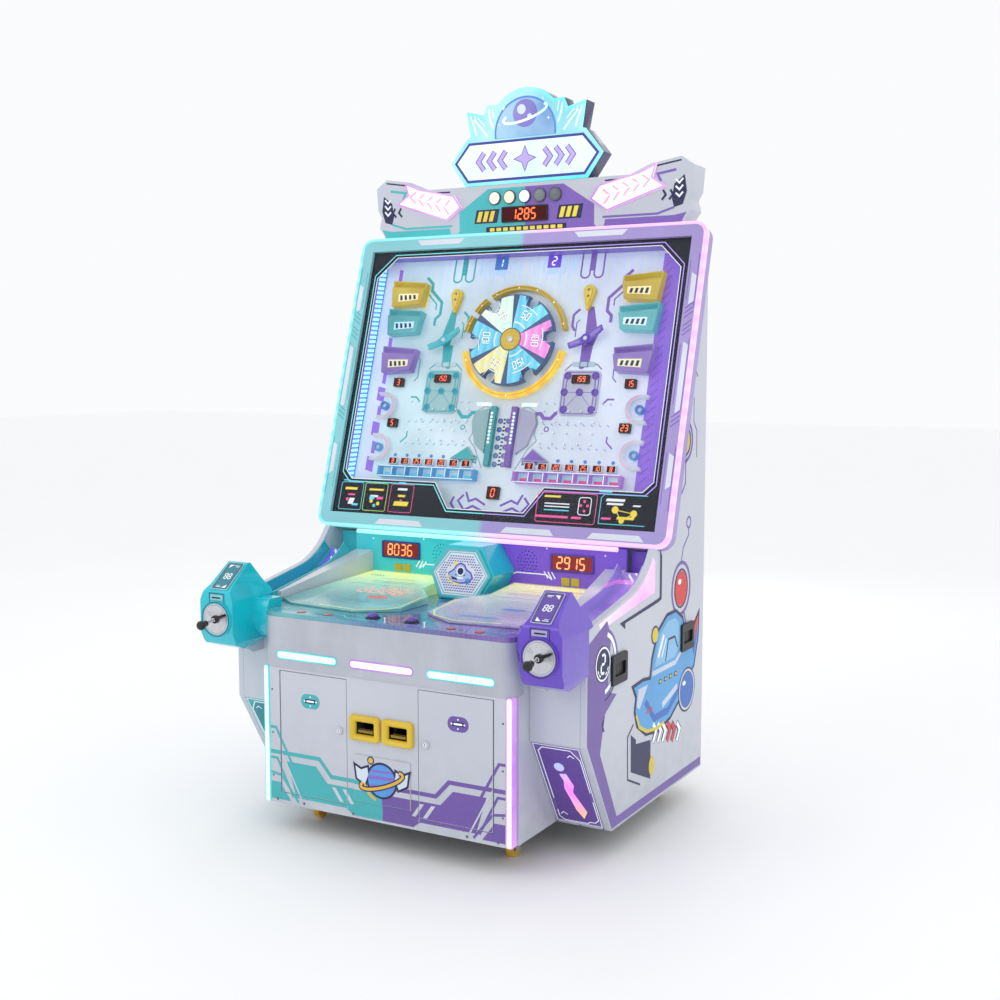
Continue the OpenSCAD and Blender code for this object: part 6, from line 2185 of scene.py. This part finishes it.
def sideNavyLines():
    stroke(arcPoints(sidePlan["roundel"][0], sidePlan["roundel"][1], 112, -82, -18, 16), 5, 0.4, 0.8)
    slab([(-110, 694), (-110, 712), (150, 736), (176, 742), (176, 880), (160, 905), (160, 752), (150, 748),
        (-150, 718)], 0.35, 0.7)
    slab([(-252, 464), (-262, 430), (-254, 414), (-266, 414), (-272, 440)], 0.4, 0.8)


def roundelNavy():
    slab(circlePoints(*sidePlan["roundel"], 54, 48), 0.6, 1)


def roundelWhite():
    x, z = sidePlan["roundel"]
    ringSlab(circlePoints(x, z, 51, 48), circlePoints(x, z, 45.5, 48), 0.9, 1.3)
    for a in (210, 235, 305, 330):
        stroke(arcPoints(x, z, 38, a - 9, a + 9, 5), 5, 0.9, 1.3)


def ellipse(x, z, rx, rz, count=48):
    return [(x + rx * cos(2 * pi * i / count), z + rz * sin(2 * pi * i / count)) for i in range(count)]


def discNavy():
    ringSlab(ellipse(361, 1240, 54, 54), ellipse(361, 1240, 44, 44), 0.2, 0.7)
    ringSlab(ellipse(345, 752, 60, 66), ellipse(345, 752, 54, 60), 0.2, 0.7)
    slab([(-59, 355), (-20, 330), (-20, 316), (98, 300), (98, 173), (-56, 236)], 0.2, 0.6)
    stroke([(-40, 384), (-84, 353), (-81, 219), (17, 177)], 6, 0.2, 0.6)


# the big motif: a plain craft with a canopy, fins and coloured balls
def shipOutline(grow):
    body = [(-30, 420), (-10, 372), (60, 330), (150, 318), (260, 336), (352, 384), (404, 430), (470, 470), (505, 560),
        (510, 640), (470, 610), (430, 560), (392, 580), (360, 650), (300, 682), (225, 680), (150, 640), (104, 560),
        (90, 500), (30, 506), (-44, 500), (-20, 466)]
    return offsetPath(body, -grow, True)


def shipPale():
    slab([(-6, 486), (-18, 434), (4, 420), (36, 452), (70, 486)], 1.1, 1.5)
    stroke([(104, 512), (300, 512), (352, 540), (372, 566)], 16, 1.1, 1.5)
    stroke(arcPoints(406, 398, 66, 0, 360, 40)[:-1], 8, 1.3, 1.7, True)
    stroke([(190, 392), (318, 428)], 20, 1.1, 1.5)


def shipNavy():
    slab(shipOutline(8), 0.4, 0.9)
    stroke([(214, 532), (236, 600), (292, 600), (318, 560)], 7, 1.35, 1.7)
    slab(circlePoints(406, 398, 76, 44), 0.9, 1.3)
    slab(circlePoints(125, 634, 30, 28), 0.6, 1)
    for k in range(4):
        slab(roundedRect(170 + k * 44, 474, 22, 15, 3), 1.5, 1.9)


def shipGlints():
    slab(ellipse(330, 776, 14, 9, 20), 0.9, 1.3)
    slab(ellipse(380, 424, 14, 8, 20), 1.6, 2)
    stroke([(150, 556), (196, 622)], 13, 1.6, 2)
    stroke([(180, 552), (216, 606)], 6, 1.6, 2)
    for k in range(3):
        stroke([(116 + k * 40, 288 - k * 9), (142 + k * 40, 320 - k * 9), (116 + k * 40, 348 - k * 9)], 15, 0.9, 1.4)
    stroke([(322, 242), (348, 276), (322, 302)], 15, 0.9, 1.4)


def chevronShade():
    for x, z in ((116, 288), (156, 279), (196, 270), (236, 262), (276, 252), (322, 242)):
        stroke([(x, z), (x + 26, z + 34), (x, z + 60)], 24, 0.55, 0.85)


@drawnPair(onSide, sideTeal, sideViolet)
def sideBand():
    # the coloured edge of the side: down the front, round the roundel and along the foot
    slab([(-372, 690), (-372, 396), (-196, 100), (548, 100), (548, 128), (-160, 128), (-284, 352), (-266, 414),
        (-252, 464), (-168, 508), (-212, 520), (-232, 552), (-212, 690), (-240, 742), (-300, 718)], 0, 0.35)


@drawnPair(onSide, sideTeal, sideViolet)
def sideArc():
    stroke(arcPoints(sidePlan["roundel"][0], sidePlan["roundel"][1], 92, -86, 66, 24), 26, 0.3, 0.6)


@drawnPair(onSide, sideTeal, sideViolet)
def sideCircuit():
    stroke([(424, 1560), (424, 1440), (392, 1404), (392, 1322), (378, 1300)], 7, 0.1, 0.45)
    stroke([(452, 1620), (452, 1470), (470, 1450)], 7, 0.1, 0.45)
    stroke([(372, 1206), (372, 1100), (344, 1072), (300, 1052)], 7, 0.1, 0.45)
    stroke([(322, 1200), (322, 1090), (258, 1046)], 7, 0.1, 0.45)
    stroke(circlePoints(407, 966, 18, 28), 7, 0.1, 0.45, True)
    stroke([(407, 946), (407, 924), (360, 886), (344, 842)], 6, 0.1, 0.45)
    stroke([(440, 1380), (440, 1300), (470, 1268), (470, 1180)], 5, 0.1, 0.45)
    ringSlab(ellipse(361, 1240, 74, 74), ellipse(361, 1240, 62, 62), 0.1, 0.45)
    ringSlab(ellipse(345, 752, 86, 92), ellipse(345, 752, 74, 80), 0.1, 0.45)
    stroke([(372, 668), (392, 632), (360, 610)], 9, 0.1, 0.45)


for name, draw, material in (("sideArcPale", sideArcsPale, paleInk), ("sideNavy", sideNavyLines, navyInk),
        ("roundelNavy", roundelNavy, navyInk), ("roundelWhite", roundelWhite, paleInk),
        ("sideDiscs", discNavy, navyInk), ("shipNavy", shipNavy, navyInk),
        ("shipPale", shipPale, inkOf("shipPale", (0.64, 0.74, 0.88))), ("chevronShade", chevronShade, navyInk),
        ("shipGlints", shipGlints, paleInk)):
    piece(name, draw, onSide, material, both=True)


@drawn(onSide, inkOf("shipSky", (0.1, 0.4, 0.8), 0, 0.25), both=True)
def shipBody():
    slab(shipOutline(-3), 0.8, 1.2)


@drawn(onSide, inkOf("shipGlass", (0.26, 0.58, 0.9), 0, 0.18), both=True)
def shipGlass():
    slab([(122, 530), (290, 530), (340, 556), (346, 590), (330, 638), (294, 662), (228, 660), (166, 626)], 1, 1.4)


@drawn(onSide, inkOf("shipBlue", (0.03, 0.16, 0.58), 0, 0.25), both=True)
def shipBlue():
    slab(circlePoints(406, 398, 60, 44), 1.2, 1.6)
    slab([(40, 430), (120, 352), (240, 352), (330, 400), (330, 424), (236, 376), (126, 376), (60, 440)], 1.15, 1.5)
    slab([(440, 560), (466, 598), (502, 622), (496, 566), (470, 500)], 1.15, 1.5)


@drawn(onSide, inkOf("shipGold", (0.8, 0.62, 0.03), 0, 0.25), both=True)
def shipGold():
    slab(circlePoints(125, 634, 24, 28), 0.9, 1.4)
    stroke([(-22, 408), (4, 364), (64, 336), (150, 326), (206, 332)], 11, 1.2, 1.6)
    for k in range(4):
        slab(roundedRect(170 + k * 44, 474, 14, 9, 2), 1.8, 2.2)
    slab(circlePoints(361, 1240, 44, 44), 0.2, 0.75)
    slab(ellipse(107, 214, 22, 30, 28), 0.7, 1.2)


@drawn(onSide, inkOf("shipRed", (0.75, 0.03, 0.03), 0, 0.25), both=True)
def shipRed():
    slab(ellipse(345, 752, 52, 58), 0.4, 0.9)
    slab([(470, 560), (500, 612), (504, 640), (476, 616), (452, 580)], 1.5, 1.9)
    for k in range(2):
        stroke([(60 + k * 26, 394 - k * 4), (78 + k * 26, 410 - k * 4)], 8, 1.2, 1.6)
    stroke([(236, 262), (262, 296), (236, 322)], 17, 0.7, 1.2)
    stroke([(276, 252), (302, 286), (276, 312)], 17, 0.7, 1.2)


@drawn(onSide, paleInk)
def roundelTwo():
    drawDigits("2", *sidePlan["roundel"], 54, 0.9, 1.5, 8)


@drawn(onSide, paleInk, flip=True)
def roundelOne():
    drawDigits("1", *sidePlan["roundel"], 54, 0.9, 1.5, 8)


# grips: black pans behind the finger openings
@drawn(onSide, softGrip, slot="black_plastic", bevel=0.4, both=True)
def gripPans():
    for y, z in sidePlan["grips"]:
        slab(roundedRect(y, z, 100, 84, 6), 0.2, 1.4)
        for k in range(4):
            slab(roundedRect(y - 24 + k * 16, z, 5, 52, 2), 1.3, 2.4)


# lit inserts beside the rails
def makeInsertGlow():
    p = Paint("insertGlow")
    near = ((p.y + 0.28) * 0.9 - (p.z - 0.72) * 1.1).ramp(-0.05, 0.22)
    cloud = p.noise(6, 4).ramp(0.3, 0.7)
    warm = p.mix(near, (1, 0.82, 0.92), p.mix(cloud, (0.86, 0.3, 0.9), (0.98, 0.55, 1)))
    cool = p.mix(near, (0.8, 1, 1), p.mix(cloud, (0.1, 0.62, 0.8), (0.3, 0.85, 0.95)))
    shade = p.mix(p.x > 0, cool, warm)
    return p.surface(p.mix(0.7, shade, (0, 0, 0)), (0.2 + cloud * 0.1), coat=0.4, glow=shade, power=0.85)


softened("sideInsertLights", "side_inserts", makeInsertGlow(), 1, 2)

# wing faces: sloping printed panel with an outline and the lit shape
wing = {"x": 537, "w": 150, "h": 351.6}
slopeUp = Vector((0, -180, 302)).normalized()
onWing = placeMatrix((wing["x"] * mm, -196.5 * mm, 92 * mm), (1, 0, 0), slopeUp)


wingDark = {"Left": inkOf("wingDeepTeal", (0.02, 0.26, 0.32), 0.05),
    "Right": inkOf("wingDeepPurple", (0.13, 0.06, 0.36), 0.05)}


@drawnPair(onWing, sideTeal, sideViolet)
def wingField():
    slab([(-78, 8), (80, 8), (80, 344), (-78, 344)], 0, 0.35)


@drawnPair(onWing, wingDark["Left"], wingDark["Right"])
def wingInner():
    slab([(-60, 34), (-48, 22), (52, 22), (66, 36), (66, 292), (46, 326), (-50, 326), (-60, 316)], 0.3, 0.7)


@drawn(onWing, paleInk, both=True)
def wingOutline():
    stroke([(-62, 60), (-62, 32), (-48, 18), (30, 18), (38, 26), (56, 26), (70, 40), (70, 120)], 3, 0.6, 1.1)
    stroke([(70, 160), (70, 294), (46, 330), (-46, 330), (-62, 314), (-62, 110)], 3, 0.6, 1.1)
    stroke([(-74, 12), (76, 12), (76, 340), (-74, 340)], 2.4, 0.35, 0.8, True)
    for x, y in ((40, 300), (-44, 44)):
        stroke([(x - 10, y), (x, y + 10), (x + 12, y)], 3, 0.65, 1.1)


def makeWingGlow():
    p = Paint("wingShapeGlow")
    up = p.z.ramp(0.13, 0.33)
    right = p.mix(up.ramp(0, 0.35), (1, 0.42, 0.06), (1, 0.25, 0.85))
    right = p.mix(up.ramp(0.55, 1), right, (0.22, 0.5, 1))
    left = p.mix(up, (0.05, 0.6, 0.7), (0.35, 0.95, 1))
    cloud = p.noise(12, 3).ramp(0.3, 0.7)
    shade = p.mix(cloud * 0.25, p.mix(p.x > 0, left, right), (1, 0.85, 1))
    return p.surface(p.mix(0.7, shade, (0, 0, 0)), (0.25 + cloud * 0.1), coat=0.3, glow=shade, power=0.95)


softened("wingShapes", "wing_lights", makeWingGlow(), 1.2, 3)


@drawn(onWing, darkMetal, slot="steel", both=True)
def wingScrews():
    for x, y in ((-76, 4), (0, 3), (78, 4)):
        lathe([(2.8, 0), (2.8, 0.9), (1.8, 1.5)], (x, y), 14)


print("sides made")

# rear: door furniture, inlet, and the casters
softened("rearDoor", "rear_door", steelCoat, 1.2, 2)
softened("powerInlet", "power_inlet", blackPlastic, 1, 2)
softened("ticketUnits", "ticket_units", darkMetal, 0.6, 2)
onBack = onRear(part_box("rear_wall")[1].y / mm - 18)


@drawn(onBack, blackPlastic, slot="black_plastic", bevel=0.3)
def inletSurround():
    stroke(roundedRect(-420, 180, 76, 66, 5), 3, -0.3, 0.9, True)


@drawn(onBack, darkMetal, slot="steel")
def wallScrews():
    for x in (-600, 600):
        for z in range(140, 1861, 215):
            lathe([(4.6, -0.4), (4.6, 0.8), (3.2, 1.9), (1.2, 1.9), (1.1, 0.9)], (x, z), 18)


softened("rearWall", "rear_wall", steelCoat, 0.8, 2)
softened("forksRear", "forks_rear", polishedChrome, 0.5, 2)
softened("forkLeft", "fork_left", polishedChrome, 0.5, 2)
softened("forkRight", "fork_right", polishedChrome, 0.5, 2)


def casterTyre():
    r, w = 30, 24
    lathe([(12, -w / 2 + 1.5), (r - 3.4, -w / 2), (r - 0.9, -w / 2 + 2.4), (r, -w / 2 + 6), (r, w / 2 - 6),
        (r - 0.9, w / 2 - 2.4), (r - 3.4, w / 2), (12, w / 2 - 1.5)], count=56)


def casterHub():
    lathe([(8, -11.9), (13, -11.6), (13, 11.6), (8, 11.9)], count=32)


tyrePaint = moulded("casterTyre", (0.72, 0.42, 0.03), 0.34, 0.2, 600, 0.2)
for node in ("wheel_fl", "wheel_fr", "wheel_rl", "wheel_rr"):
    low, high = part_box(node)
    spot = (low + high) / 2
    place = placeMatrix(spot, (0, 1, 0), (0, 0, 1))
    name = "caster" + node[-2:].capitalize()
    piece(name + "Tyre", casterTyre, place, tyrePaint, bodyOf[node], slotOf[node], hides=(node,))
    piece(name + "Hub", casterHub, place, darkMetal, bodyOf[node], "steel")
print("rear and casters made")
print("scene made")
